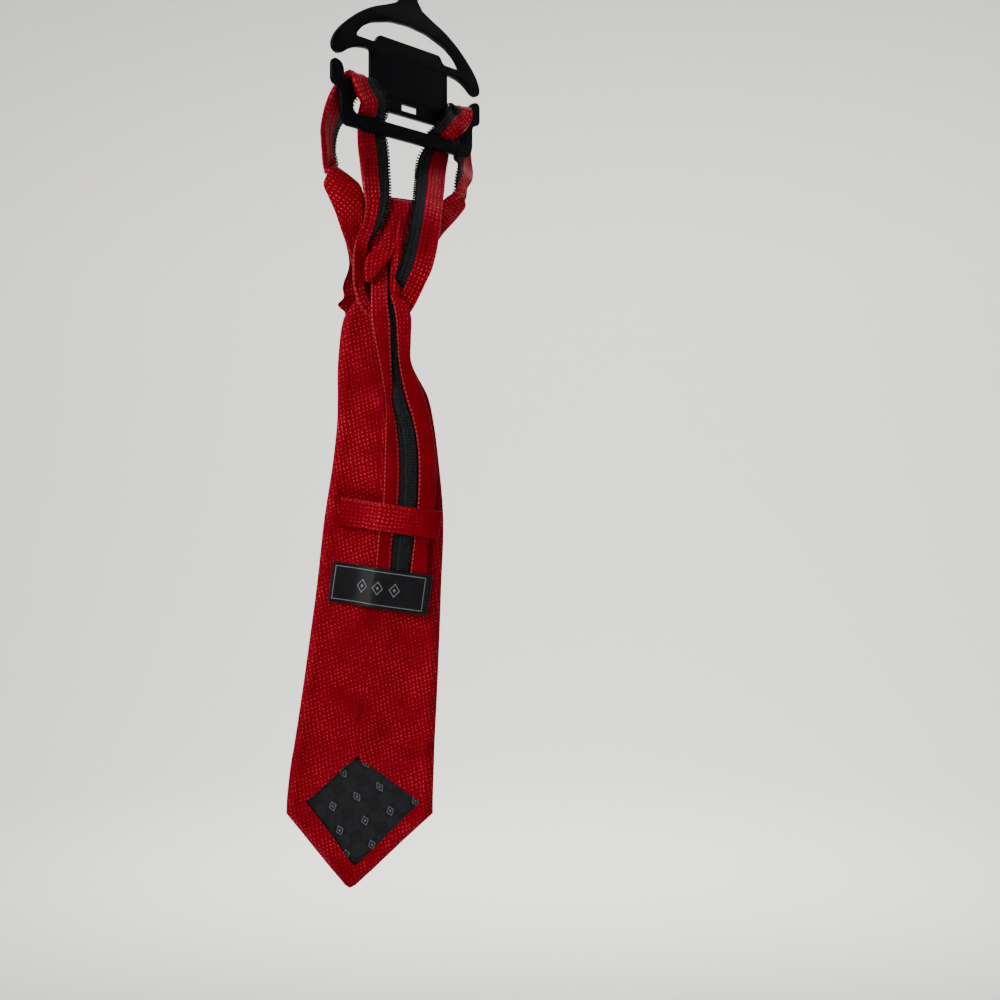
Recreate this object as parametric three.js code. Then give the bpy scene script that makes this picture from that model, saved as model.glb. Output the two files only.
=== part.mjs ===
// Zipper tie on a small tie hanger, seen from its back.
// Millimetres, +Z up. The back of the tie faces -Y and its front faces +Y.
// The origin is the seat inside the hanger's hook, where a rail carries it.
import * as THREE from 'three';

// hanger, a flat moulding that hangs turned about the vertical
const hangerYaw = 44;
const hangerHalfWidth = 45;
const hangerThick = 2.4;
const hookInnerRadius = 8;
const hookBand = 4.6;
const stemWidth = 9.5;
const archTop = 24.2;
const archBand = 9.8;
const windowTop = 51;
const plateHalfWidth = 23.4;
const plateTop = 43;
const plateBottom = 77.3;
const pegTop = 68;
const pegHeight = 3.5;
const prongWidth = 6.7;
const prongTop = 60;
const barTop = 82.3;
const barHeight = 7.2;
const stampWidth = 10;
const stampHeight = 3.2;
const edgeRound = 2;

// neck loop and zip
const bandWidth = 9.5;
const bandThick = 1.8;
const tapeWidth = 6.6;
const tapeThick = 1;
const seamGap = 0.3;
const saddleLift = 0.7;
const saddleReach = 10;
const loopDrop = 102;
const loopHalfSpan = 40;

// knot
const knotTop = 97;
const knotHeight = 72;
const knotWidth = 67;
const knotDepth = 10;
const clothThick = 2.4;
const backPassThick = 2;

// blade, a folded envelope
const bladeTop = 128;
const bladeLength = 315;
const bladeWidth = 70;
const cloth = 1;
const hollow = 1.6;
const lapGap = 0.3;
const rollRadius = 1.8;
const bladeFront = 5;

// tail, keeper loop, label and tipping
const tailTop = 148;
const tailLength = 150;
const tailThick = 2;
const keeperWidth = 47;
const keeperHeight = 13.4;
const keeperThick = 1.5;
const labelWidth = 47;
const labelHeight = 19;
const labelThick = 1;
const attachTilt = 8;
const tippingThick = 1;
const tippingTuck = 1.6;
const sliderWidth = 9;
const sliderHeight = 11;
const sliderThick = 1.8;

const clear = 0.3;
const stepsPerRow = 3;

// derived places
const windowWidth = hangerHalfWidth - plateHalfWidth - prongWidth;
const bladeBack = bladeFront - 2 * cloth - hollow;
const lapBack = bladeBack - lapGap - cloth;
const tailFace = lapBack - clear - tailThick;
const slotMiddle = (plateBottom + barTop) / 2 + clear / 3;

const radians = THREE.MathUtils.degToRad;

function material(color, roughness, metalness = 0) {
  return new THREE.MeshStandardMaterial({ color, roughness, metalness });
}

const cloths = material('#b3101f', 0.62);
const blackTape = material('#17181b', 0.85);
const blackSatin = material('#101014', 0.45);
const blackPlastic = material('#0c0c0e', 0.35);

// joins rings of points into one closed body whose faces point out
function loft(rings) {
  const count = rings[0].length;
  const positions = rings.flat().flatMap((point) => [point.x, point.y, point.z]);
  const faces = [];
  for (let ring = 0; ring + 1 < rings.length; ring += 1) {
    for (let side = 0; side < count; side += 1) {
      const next = (side + 1) % count;
      const here = ring * count;
      const there = here + count;
      faces.push([here + side, here + next, there + next], [here + side, there + next, there + side]);
    }
  }
  for (const [ring, turned] of [[0, true], [rings.length - 1, false]]) {
    for (const [a, b, c] of capFaces(rings[ring])) {
      const base = ring * count;
      faces.push(turned ? [base + a, base + c, base + b] : [base + a, base + b, base + c]);
    }
  }
  const geometry = new THREE.BufferGeometry();
  geometry.setAttribute('position', new THREE.Float32BufferAttribute(positions, 3));
  const out = signedVolume(positions, faces) > 0;
  geometry.setIndex(faces.flatMap(([a, b, c]) => (out ? [a, b, c] : [a, c, b])));
  return geometry;
}

// a closing face over one ring, triangulated in the ring's own plane
function capFaces(ring) {
  const normal = new THREE.Vector3();
  ring.forEach((point, index) => {
    const next = ring[(index + 1) % ring.length];
    normal.add(new THREE.Vector3().crossVectors(point, next));
  });
  normal.normalize();
  const right = new THREE.Vector3(1, 0, 0).addScaledVector(normal, -normal.x);
  if (right.length() < 0.3) {
    right.set(0, 1, 0).addScaledVector(normal, -normal.y);
  }
  right.normalize();
  const up = new THREE.Vector3().crossVectors(normal, right);
  const flat = ring.map((point) => new THREE.Vector2(point.dot(right), point.dot(up)));
  return THREE.ShapeUtils.triangulateShape(flat, []);
}

function signedVolume(positions, faces) {
  const corner = (index) => new THREE.Vector3().fromArray(positions, index * 3);
  return faces.reduce((sum, [a, b, c]) => sum + corner(a).dot(corner(b).cross(corner(c))) / 6, 0);
}

// a section of a strip of cloth: flat faces, rounded edges, bowed by `bow`
function stripSection(middle, halfWidth, normal, thick, bow, across) {
  const half = halfWidth.length();
  const edge = Math.min(0.9, 1 - thick / 2 / half);
  const stops = [];
  for (let step = 0; step <= across; step += 1) {
    stops.push(edge * (2 * step / across - 1));
  }
  const place = (u, v) => middle.clone()
    .addScaledVector(halfWidth, u)
    .addScaledVector(normal, v + bow * Math.sqrt(Math.max(0, 1 - u * u)));
  const faceUp = stops.map((u) => place(u, thick / 2));
  const faceDown = stops.map((u) => place(u, -thick / 2)).reverse();
  return [place(-1, 0), ...faceUp, place(1, 0), ...faceDown];
}

function spline(points) {
  return new THREE.CatmullRomCurve3(points, false, 'centripetal');
}

function sampleRows(rows) {
  const stations = [];
  const total = (rows.length - 1) * stepsPerRow;
  for (let step = 0; step <= total; step += 1) {
    const row = Math.min(Math.floor(step / stepsPerRow), rows.length - 2);
    const share = step / stepsPerRow - row;
    const value = (name) => THREE.MathUtils.lerp(rows[row][name] ?? 0, rows[row + 1][name] ?? 0, share);
    stations.push({ at: step / total, value });
  }
  return stations;
}

// a strip given by its left and right edges, row by row
function edgeStrip(rows, { thick, across = 4 }) {
  const left = spline(rows.map((row) => row.left));
  const right = spline(rows.map((row) => row.right));
  const rings = sampleRows(rows).map(({ at, value }) => {
    const from = left.getPoint(at);
    const to = right.getPoint(at);
    const middle = from.clone().add(to).multiplyScalar(0.5);
    const halfWidth = to.clone().sub(from).multiplyScalar(0.5);
    const along = left.getTangent(at).add(right.getTangent(at));
    const normal = new THREE.Vector3().crossVectors(along, halfWidth).normalize();
    return stripSection(middle, halfWidth, normal, thick, value('bow'), across);
  });
  return loft(rings);
}

// a strip given by its centre line, its turn about the vertical and its width;
// `aside` moves it sideways on the same ride, as the tape beside the band
function rideStrip(rows, { width, thick, aside = 0 }) {
  const path = spline(rows.map((row) => row.point));
  const rings = sampleRows(rows).map(({ at, value }) => {
    const along = path.getTangent(at);
    const turn = radians(value('turn'));
    const across = new THREE.Vector3(Math.cos(turn), Math.sin(turn), 0);
    across.addScaledVector(along, -across.dot(along)).normalize();
    const normal = new THREE.Vector3().crossVectors(along, across).normalize();
    const squeeze = value('squeeze');
    const middle = path.getPoint(at).addScaledVector(across, aside * squeeze);
    const halfWidth = across.clone().multiplyScalar(width * squeeze / 2);
    return stripSection(middle, halfWidth, normal, thick, 0, 2);
  });
  return loft(rings);
}

function mesh(name, geometry, look) {
  const piece = new THREE.Mesh(geometry, look);
  piece.name = name;
  return piece;
}

// a place on the hanger: `along` its plane, `off` its face, `down` from the hook's seat
function onHanger(along, off, down) {
  const yaw = radians(hangerYaw);
  return new THREE.Vector3(
    along * Math.cos(yaw) - off * Math.sin(yaw),
    along * Math.sin(yaw) + off * Math.cos(yaw),
    -down,
  );
}

function ringPoints(radius, from, to, count) {
  const points = [];
  for (let step = 0; step <= count; step += 1) {
    const angle = radians(from + (to - from) * step / count);
    points.push([radius * Math.cos(angle), radius * Math.sin(angle) - hookInnerRadius]);
  }
  return points;
}

// the right side of the hanger, from the stem down to the bar
function hangerSide() {
  const pegEnd = plateHalfWidth + windowWidth;
  const lowerOuter = pegEnd + prongWidth * 0.25;
  const barBottom = barTop + barHeight;
  return [
    [stemWidth / 2, -archTop + 0.5 * edgeRound],
    [hangerHalfWidth * 0.32, -archTop - archBand * 0.37],
    [hangerHalfWidth * 0.53, -archTop - archBand * 0.8],
    [hangerHalfWidth * 0.79, -archTop - archBand * 1.65],
    [hangerHalfWidth * 0.96, -archTop - archBand * 2.5],
    [hangerHalfWidth, -windowTop - edgeRound],
    [hangerHalfWidth * 0.985, -windowTop - 2.5 * edgeRound],
    [hangerHalfWidth * 0.93, -windowTop - 3.25 * edgeRound],
    [hangerHalfWidth * 0.87, -windowTop - 2.85 * edgeRound],
    [hangerHalfWidth * 0.8, -windowTop - 1.5 * edgeRound],
    [hangerHalfWidth * 0.7, -windowTop - 0.4 * edgeRound],
    [plateHalfWidth, -windowTop],
    [plateHalfWidth, -pegTop],
    [pegEnd, -pegTop],
    [pegEnd, -prongTop - 2 * edgeRound],
    [pegEnd + prongWidth * 0.3, -prongTop - 0.5 * edgeRound],
    [pegEnd + prongWidth * 0.7, -prongTop],
    [hangerHalfWidth - 0.2 * edgeRound, -prongTop - 0.5 * edgeRound],
    [hangerHalfWidth, -prongTop - 1.5 * edgeRound],
    [hangerHalfWidth, -pegTop - 1.3 * edgeRound],
    [lowerOuter, -pegTop - 2.3 * edgeRound],
    [lowerOuter, -barBottom + 3 * edgeRound],
    [lowerOuter - 0.7 * edgeRound, -barBottom + 1.1 * edgeRound],
    [lowerOuter - 2.5 * edgeRound, -barBottom],
  ];
}

function hangerOutline() {
  const side = hangerSide();
  const outer = hookInnerRadius + hookBand;
  const stemAngle = THREE.MathUtils.radToDeg(Math.asin(stemWidth / 2 / outer));
  const tip = 200;
  const outline = [
    ...side,
    ...side.toReversed().map(([x, z]) => [-x, z]),
    ...ringPoints(outer, -90 - stemAngle, -90, 1).slice(0, 1),
    ...ringPoints(hookInnerRadius, -90 - stemAngle, tip, 20),
    ...ringPoints(outer, tip, stemAngle - 90, 20),
  ];
  const shape = new THREE.Shape(outline.toReversed().map(([x, z]) => new THREE.Vector2(x, z)));
  shape.holes.push(archOpening(), lowerSlot(), stampHole());
  return shape;
}

function closedPath(points) {
  return new THREE.Path(points.map(([x, z]) => new THREE.Vector2(x, z)));
}

function archOpening() {
  const reach = plateHalfWidth + windowWidth * 0.58;
  const low = plateTop + 1.9 * edgeRound;
  const crown = archTop + archBand;
  const rising = [[-1, 0], [-0.88, 0.38], [-0.7, 0.66], [-0.34, 0.93]];
  const upper = [...rising, [0, 1], ...rising.toReversed().map(([across, rise]) => [-across, rise])];
  return closedPath([
    ...upper.map(([across, rise]) => [across * reach, -low + rise * (low - crown)]),
    [plateHalfWidth * 0.88, -low],
    [plateHalfWidth * 0.8, -plateTop],
    [-plateHalfWidth * 0.8, -plateTop],
    [-plateHalfWidth * 0.88, -low],
  ]);
}

// the slot under the pegs and the plate, above the bar
function lowerSlot() {
  const reach = plateHalfWidth + windowWidth * 0.66;
  const pegBottom = pegTop + pegHeight;
  const half = [
    [reach - 0.8 * edgeRound, -barTop],
    [reach, -barTop + 0.8 * edgeRound],
    [reach, -pegBottom],
    [plateHalfWidth, -pegBottom],
    [plateHalfWidth, -plateBottom],
  ];
  return closedPath([...half, ...half.toReversed().map(([x, z]) => [-x, z])]);
}

function stampHole() {
  const top = plateBottom - stampHeight * 1.75;
  const half = stampWidth / 2;
  return closedPath([[-half, -top], [half, -top], [half, -top - stampHeight], [-half, -top - stampHeight]]);
}

function makeHanger() {
  const geometry = new THREE.ExtrudeGeometry(hangerOutline(), { depth: hangerThick, bevelEnabled: false });
  const piece = mesh('hanger', geometry.translate(0, 0, -hangerThick / 2), blackPlastic);
  piece.quaternion.setFromRotationMatrix(new THREE.Matrix4().makeBasis(
    onHanger(1, 0, 0),
    new THREE.Vector3(0, 0, 1),
    onHanger(0, -1, 0),
  ));
  return piece;
}

// The neck loop hangs over the two pegs. The saddle's rows are places along the hanger and
// off its face, as shares of saddleReach from the peg's end, the face and a level; the others
// are shares of the loop's own sizes: across and depth of loopHalfSpan, down of loopDrop.
const offFace = hangerThick / 2 + clear + bandThick / 2 + saddleLift;
const saddleSqueeze = 0.78;
const saddleTable = tabled('along side off level down squeeze', [
  [0.5, 1, 0.22, pegTop, 0.9, 0.9],
  [0.24, 1, 0.06, pegTop, 0.3, 0.82],
  [0.06, 0.9, 0, pegTop, -0.18, saddleSqueeze],
  [0.02, 0, 0, pegTop, -0.34, saddleSqueeze],
  [0, -0.9, 0, pegTop, -0.18, saddleSqueeze],
  [0, -1, 0, pegTop, 0.06, saddleSqueeze],
  [-0.24, -1, 0, pegTop, 0.45, 0.84],
  [-0.72, -1, 0, slotMiddle, -0.34, 0.94],
  [-0.92, 0, 0, slotMiddle, 0, 0.96],
  [-1.04, 1, 0, slotMiddle, 0.34, 0.98],
  [-1.1, 1, 0.02, barTop + barHeight, 0, 1],
]);

function saddleRows(side) {
  const centre = plateHalfWidth + windowWidth - 0.4 * edgeRound - bandWidth * saddleSqueeze / 2;
  return saddleTable.map((row) => ({
    point: onHanger(
      side * (centre + row.along * saddleReach),
      row.side * offFace + row.off * saddleReach,
      row.level + row.down * saddleReach,
    ),
    turn: hangerYaw,
    squeeze: row.squeeze,
  }));
}

function looseRows(table) {
  return table.map(({ across, depth, down, turn, squeeze = 1 }) => ({
    point: new THREE.Vector3(across * loopHalfSpan, depth * loopHalfSpan, -pegTop - down * loopDrop),
    turn,
    squeeze,
  }));
}

// turns a table into rows with named columns
function tabled(columns, rows) {
  const names = columns.split(' ');
  return rows.map((row) => Object.fromEntries(names.map((name, index) => [name, row[index]])));
}

const strandColumns = 'across depth down turn squeeze';
const leftOuter = tabled(strandColumns, [
  [-0.9, -0.16, 0.345, 35, 0.85],
  [-0.93, -0.25, 0.295, 58, 0.95],
  [-0.92, -0.4, 0.195, 60, 1],
]);
const leftInner = tabled(strandColumns, [
  [-0.452, -0.225, 0.31, 36, 1],
  [-0.427, -0.19, 0.425, 28, 0.9],
  [-0.41, -0.175, 0.51, 8, 0.68],
  [-0.45, -0.175, 0.6, 0, 0.62],
  [-0.53, -0.195, 0.685, 4, 0.66],
  [-0.563, -0.14, 0.78, 35, 0.75],
  [-0.548, -0.115, 0.894, 25, 0.75],
  [-0.441, -0.068, 0.975, 10, 0.8],
  [-0.27, -0.06, 1.015, 0, 0.85],
]);
const rightInner = tabled(strandColumns, [
  [0.318, 0.42, 0.271, 34, 1],
  [0.305, 0.2, 0.389, 28, 0.95],
  [0.291, -0.03, 0.516, 20, 0.9],
  [0.267, -0.115, 0.607, 16, 0.95],
  [0.235, -0.165, 0.7, 12, 0.95],
  [0.179, -0.19, 0.79, 10, 0.95],
  [0.109, -0.182, 0.854, 8, 0.9],
  [0.034, -0.115, 0.909, 5, 0.9],
  [-0.052, -0.07, 0.966, 0, 0.9],
  [-0.13, -0.06, 1, 0, 0.85],
]);
const rightOuter = tabled(strandColumns, [
  [0.592, 0.36, 0.41, 45, 0.8],
  [0.62, 0.43, 0.355, 50, 0.85],
  [0.655, 0.53, 0.31, 58, 0.95],
  [0.66, 0.79, 0.222, 47, 0.95],
]);

function loopPieces(name, side, outer, inner, tapeRowsLeftOff) {
  const rows = [...looseRows(outer), ...saddleRows(side), ...looseRows(inner)];
  const tapeRows = rows.slice(0, -tapeRowsLeftOff);
  const aside = -side * (bandWidth / 2 + seamGap + tapeWidth / 2);
  return [
    mesh(`neck_band_${name}`, rideStrip(rows, { width: bandWidth, thick: bandThick }), cloths),
    mesh(`zip_tape_${name}`, rideStrip(tapeRows, { width: tapeWidth, thick: tapeThick, aside }), blackTape),
  ];
}

// rows of edges: across in shares of a width, down of a height, depth of a third size
const edgeColumns = 'leftAcross leftDown leftDepth rightAcross rightDown rightDepth bow';

function edgeRows(rows, { top, height, width, depth, from = 0 }) {
  const place = (across, down, deep) => (
    new THREE.Vector3(across * width, from + deep * depth, -top - down * height)
  );
  return tabled(edgeColumns, rows).map((row) => ({
    left: place(row.leftAcross, row.leftDown, row.leftDepth),
    right: place(row.rightAcross, row.rightDown, row.rightDepth),
    bow: -(row.bow ?? 0) * depth,
  }));
}

const knotSizes = { top: knotTop, height: knotHeight, width: knotWidth, depth: knotDepth };
const leftWing = [
  [-0.56, 0.116, -0.8, -0.491, 0.071, -0.8],
  [-0.586, 0.186, -0.75, -0.39, 0.135, -0.6],
  [-0.557, 0.26, -0.65, -0.33, 0.187, -0.42],
  [-0.513, 0.352, -0.5, -0.31, 0.304, -0.25],
  [-0.472, 0.471, -0.35, -0.31, 0.45, -0.14],
  [-0.442, 0.553, -0.25, -0.32, 0.56, -0.1],
  [-0.4, 0.7, -0.15, -0.32, 0.71, -0.06],
  [-0.37, 0.83, -0.08, -0.305, 0.84, -0.06],
];
const rightWing = [
  [0.3, 0.178, 1.1, 0.377, 0.187, 1.45],
  [0.248, 0.218, 0.95, 0.396, 0.255, 1.35],
  [0.2, 0.285, 0.7, 0.364, 0.314, 1.1],
  [0.15, 0.358, 0.45, 0.329, 0.367, 0.8],
  [0.09, 0.446, 0.2, 0.259, 0.447, 0.5],
  [0.05, 0.527, 0.05, 0.193, 0.519, 0.25],
  [0.015, 0.671, -0.06, 0.135, 0.668, 0.05],
  [-0.006, 0.822, -0.06, 0.064, 0.821, 0],
];
const backPass = [
  [-0.132, 0.28, -0.32, 0.031, 0.308, -0.16],
  [-0.17, 0.446, -0.42, 0.025, 0.456, -0.32],
  [-0.224, 0.58, -0.5, 0.013, 0.591, -0.46],
  [-0.293, 0.666, -0.58, -0.014, 0.711, -0.56],
  [-0.3, 0.796, -0.64, -0.042, 0.868, -0.64],
];
const frontBand = [
  [-0.507, 0.184, -0.35, 0.34, 0.236, 1.65, 0.7],
  [-0.498, 0.365, -0.12, 0.278, 0.392, 1.1, 0.7],
  [-0.445, 0.556, 0.05, 0.18, 0.55, 0.5, 0.65],
  [-0.427, 0.69, 0.18, 0.125, 0.713, 0.34, 0.6],
  [-0.464, 0.847, 0.27, 0.076, 0.86, 0.27, 0.58],
  [-0.485, 0.959, 0.27, 0.04, 0.972, 0.27, 0.58],
];

// tail: two bands with the closed zip between them; depth is the rise off the lap of the blade
const tailSizes = {
  top: tailTop,
  height: tailLength,
  width: bladeWidth,
  depth: knotDepth,
  from: lapBack - clear - tailThick / 2,
};
const tailLeft = [
  [-0.244, 0.005, -0.2, -0.143, 0.005, -0.2],
  [-0.249, 0.05, -0.24, -0.139, 0.05, -0.24],
  [-0.245, 0.125, -0.6, -0.131, 0.125, -0.6],
  [-0.242, 0.172, -0.58, -0.118, 0.172, -0.58],
  [-0.219, 0.236, -0.5, -0.116, 0.236, -0.5],
  [-0.182, 0.329, -0.3, -0.112, 0.329, -0.3],
  [-0.155, 0.418, -0.1, -0.114, 0.424, -0.1],
  [-0.155, 0.496, -0.01, -0.085, 0.49, -0.01],
  [-0.16, 0.575, 0, -0.066, 0.575, 0],
  [-0.173, 0.741, 0, -0.071, 0.741, 0],
  [-0.203, 0.842, 0, -0.108, 0.852, 0],
  [-0.227, 1, 0, -0.128, 1.005, 0],
];
const tailRight = [
  [-0.108, 0.1, -0.62, -0.058, 0.1, -0.62],
  [-0.095, 0.122, -0.62, 0.002, 0.122, -0.62],
  [-0.078, 0.165, -0.6, 0.022, 0.165, -0.6],
  [-0.069, 0.233, -0.5, 0.021, 0.233, -0.5],
  [-0.063, 0.289, -0.42, 0.02, 0.295, -0.42],
  [-0.044, 0.35, -0.27, 0.059, 0.35, -0.27],
  [-0.014, 0.412, -0.12, 0.105, 0.409, -0.12],
  [0.033, 0.487, -0.02, 0.144, 0.48, -0.02],
  [0.064, 0.584, 0, 0.178, 0.584, 0],
  [0.06, 0.757, 0, 0.178, 0.748, 0],
  [0.037, 0.858, 0, 0.137, 0.858, 0],
  [0, 1, 0, 0.124, 1.005, 0],
];
const tailZip = [
  [-0.152, -0.035, 0.03, -0.098, -0.035, 0.03],
  [-0.159, 0.015, 0, -0.092, 0.015, 0],
  [-0.164, 0.064, -0.1, -0.084, 0.064, -0.1],
  [-0.161, 0.117, -0.38, -0.08, 0.117, -0.38],
  [-0.148, 0.216, -0.34, -0.08, 0.216, -0.34],
  [-0.129, 0.3, -0.18, -0.065, 0.3, -0.18],
  [-0.105, 0.356, -0.1, -0.057, 0.349, -0.1],
  [-0.104, 0.424, -0.05, -0.028, 0.415, -0.05],
  [-0.077, 0.49, 0, 0.024, 0.484, 0],
  [-0.057, 0.575, 0, 0.055, 0.584, 0],
  [-0.062, 0.741, 0, 0.051, 0.757, 0],
  [-0.099, 0.852, 0, 0.028, 0.855, 0],
  [-0.119, 1, 0, -0.009, 1.005, 0],
];

// blade: outline and the inner edges of the two back flaps, across in shares of bladeWidth,
// down of bladeLength; lap is 1 where the right flap lies over the left one
const blade = tabled('down left right leftFlap rightFlap lap', [
  [0.004, -0.249, -0.087, -0.141, -0.202, 1],
  [0.067, -0.31, -0.06, -0.137, -0.197, 1],
  [0.112, -0.378, -0.019, -0.134, -0.194, 1],
  [0.137, -0.445, 0.014, -0.132, -0.193, 1],
  [0.202, -0.486, 0.011, -0.128, -0.188, 1],
  [0.256, -0.489, 0.126, -0.132, -0.193, 1],
  [0.292, -0.492, 0.163, -0.136, -0.196, 1],
  [0.352, -0.519, 0.199, -0.141, -0.202, 1],
  [0.442, -0.58, 0.231, -0.153, -0.214, 1],
  [0.541, -0.63, 0.217, -0.171, -0.232, 1],
  [0.622, -0.679, 0.204, -0.209, -0.269, 1],
  [0.712, -0.736, 0.187, -0.255, -0.316, 1],
  [0.79, -0.79, 0.17, -0.33, -0.36, 0.9],
  [0.805, -0.803, 0.168, -0.38, -0.33, 0],
  [0.866, -0.834, 0.16, -0.702, 0.079, 0],
  [0.885, -0.837, 0.16, -0.635, -0.008, 0],
  [0.924, -0.695, -0.033, -0.501, -0.181, 0],
  [0.964, -0.549, -0.222, -0.372, -0.357, 0],
  [0.995, -0.432, -0.371, -0.406, -0.397, 0],
]);

// one level section of the folded blade: front layer, rolled edges and two back flaps
function bladeSection(row) {
  const left = row.left * bladeWidth;
  const right = row.right * bladeWidth;
  const roll = Math.min(rollRadius, (right - left) / 3);
  const back = 2 * cloth + hollow;
  const inner = cloth + hollow;
  const middle = back / 2;
  const wall = Math.min(cloth, (right - left) / 3.6);
  const inRoll = Math.max(roll, wall * 1.3);
  const rise = row.lap * (cloth + lapGap);
  const leftTip = row.leftFlap * bladeWidth;
  const rightTip = row.rightFlap * bladeWidth;
  const lapEnd = THREE.MathUtils.lerp(rightTip, leftTip, row.lap);
  const room = Math.min(4, right - inRoll - lapEnd);
  const stepStart = lapEnd + room * 0.3;
  const stepEnd = lapEnd + room * 0.85;
  const outline = [
    [leftTip, back], [left + roll, back], [left + roll * 0.3, back * 0.85], [left, middle],
    [left + roll * 0.3, back * 0.15], [left + roll, 0], [(left + right) / 2, 0], [right - roll, 0],
    [right - roll * 0.3, back * 0.15], [right, middle], [right - roll * 0.3, back * 0.85],
    [right - roll, back], [stepEnd, back], [stepStart, back + rise], [rightTip, back + rise],
    [rightTip, inner + rise], [stepStart, inner + rise], [stepEnd, inner], [right - inRoll, inner],
    [right - wall, middle], [right - inRoll, cloth], [(left + right) / 2, cloth], [left + inRoll, cloth],
    [left + wall, middle], [left + inRoll, inner], [leftTip, inner],
  ];
  return outline.map(([x, y]) => new THREE.Vector3(x, bladeFront - y, -bladeTop - row.down * bladeLength));
}

function makeTipping() {
  const rows = blade.filter((row) => row.lap === 0);
  const edges = rows.slice(0, -1).map((row) => ({
    left: row.leftFlap * bladeWidth - tippingTuck,
    right: row.rightFlap * bladeWidth + tippingTuck,
    down: row.down,
  }));
  const outline = [
    ...edges.map(({ left, down }) => [left, down]),
    ...edges.toReversed().map(({ right, down }) => [right, down]),
  ];
  const shape = new THREE.Shape(
    outline.map(([x, down]) => new THREE.Vector2(x, -bladeTop - down * bladeLength)),
  );
  const geometry = new THREE.ExtrudeGeometry(shape, { depth: tippingThick, bevelEnabled: false });
  geometry.rotateX(Math.PI / 2);
  const face = bladeFront - cloth - (hollow - tippingThick) / 2;
  return mesh('tipping', geometry.translate(0, face, 0), blackSatin);
}

// a strip laid across the back of the blade, over the tail: along in shares of its width,
// rise in shares of the tail's height over the blade; `across` and `down` place its middle
// in shares of the blade
function crossPiece({ rows, width, height, thick, across, down, tilt }) {
  const middleX = across * bladeWidth;
  const middleZ = -bladeTop - down * bladeLength;
  const slope = radians(tilt);
  const low = bladeBack - clear - thick / 2;
  const high = tailFace - clear - thick / 2;
  return edgeStrip(rows.map(([along, rise]) => {
    const x = middleX + along * width * Math.cos(slope);
    const z = middleZ - along * width * Math.sin(slope);
    const y = THREE.MathUtils.lerp(low, high, rise);
    const half = new THREE.Vector3(-Math.sin(slope), 0, -Math.cos(slope)).multiplyScalar(height / 2);
    const at = new THREE.Vector3(x, y, z);
    return { left: at.clone().sub(half), right: at.clone().add(half) };
  }), { thick });
}

function makeSlider() {
  const half = sliderWidth / 2;
  const shape = new THREE.Shape([
    new THREE.Vector2(-half * 0.6, 0),
    new THREE.Vector2(half * 0.6, 0),
    new THREE.Vector2(half, -sliderHeight * 0.35),
    new THREE.Vector2(half * 0.7, -sliderHeight),
    new THREE.Vector2(-half * 0.7, -sliderHeight),
    new THREE.Vector2(-half, -sliderHeight * 0.35),
  ].reverse());
  const geometry = new THREE.ExtrudeGeometry(shape, { depth: sliderThick, bevelEnabled: false });
  geometry.rotateX(Math.PI / 2);
  const x = (tailZip[0][0] + tailZip[0][3]) / 2 * bladeWidth;
  const z = -tailTop - tailZip[0][1] * tailLength + sliderHeight + clear;
  geometry.translate(x, bladeBack - sliderThick + clear * 2 / 3, z);
  return mesh('zipper_slider', geometry, blackPlastic);
}

const tie = new THREE.Group();
tie.name = 'zipper_tie';
tie.add(makeHanger());
tie.add(...loopPieces('left', -1, leftOuter, leftInner, 4));
tie.add(...loopPieces('right', 1, rightOuter, rightInner, 3));
tie.add(mesh('knot_left_wing', edgeStrip(edgeRows(leftWing, knotSizes), { thick: clothThick }), cloths));
tie.add(mesh('knot_right_wing', edgeStrip(edgeRows(rightWing, knotSizes), { thick: clothThick }), cloths));
tie.add(mesh('knot_back_pass', edgeStrip(edgeRows(backPass, knotSizes), { thick: backPassThick }), cloths));
const frontRows = edgeRows(frontBand, knotSizes);
tie.add(mesh('knot_front_band', edgeStrip(frontRows, { thick: clothThick, across: 8 }), cloths));
tie.add(mesh('blade', loft(blade.map(bladeSection)), cloths));
tie.add(makeTipping());
tie.add(mesh('tail_left_band', edgeStrip(edgeRows(tailLeft, tailSizes), { thick: tailThick }), cloths));
tie.add(mesh('tail_right_band', edgeStrip(edgeRows(tailRight, tailSizes), { thick: tailThick }), cloths));
tie.add(mesh('tail_zip', edgeStrip(edgeRows(tailZip, tailSizes), { thick: tapeThick }), blackTape));
tie.add(makeSlider());
tie.add(mesh('keeper_loop', crossPiece({
  rows: [[-0.5, 0], [-0.28, 0.1], [-0.16, 0.55], [-0.09, 1], [0.1, 1], [0.42, 1], [0.5, 0.7]],
  width: keeperWidth,
  height: keeperHeight,
  thick: keeperThick,
  across: -0.1286,
  down: 0.4397,
  tilt: attachTilt,
}), cloths));
tie.add(mesh('label', crossPiece({
  rows: [[-0.5, 0], [-0.25, 0.1], [-0.14, 0.55], [-0.06, 1], [0.2, 1], [0.42, 1], [0.5, 0.75]],
  width: labelWidth,
  height: labelHeight,
  thick: labelThick,
  across: -0.1929,
  down: 0.5444,
  tilt: attachTilt,
}), blackSatin));
export default tie;
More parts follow.
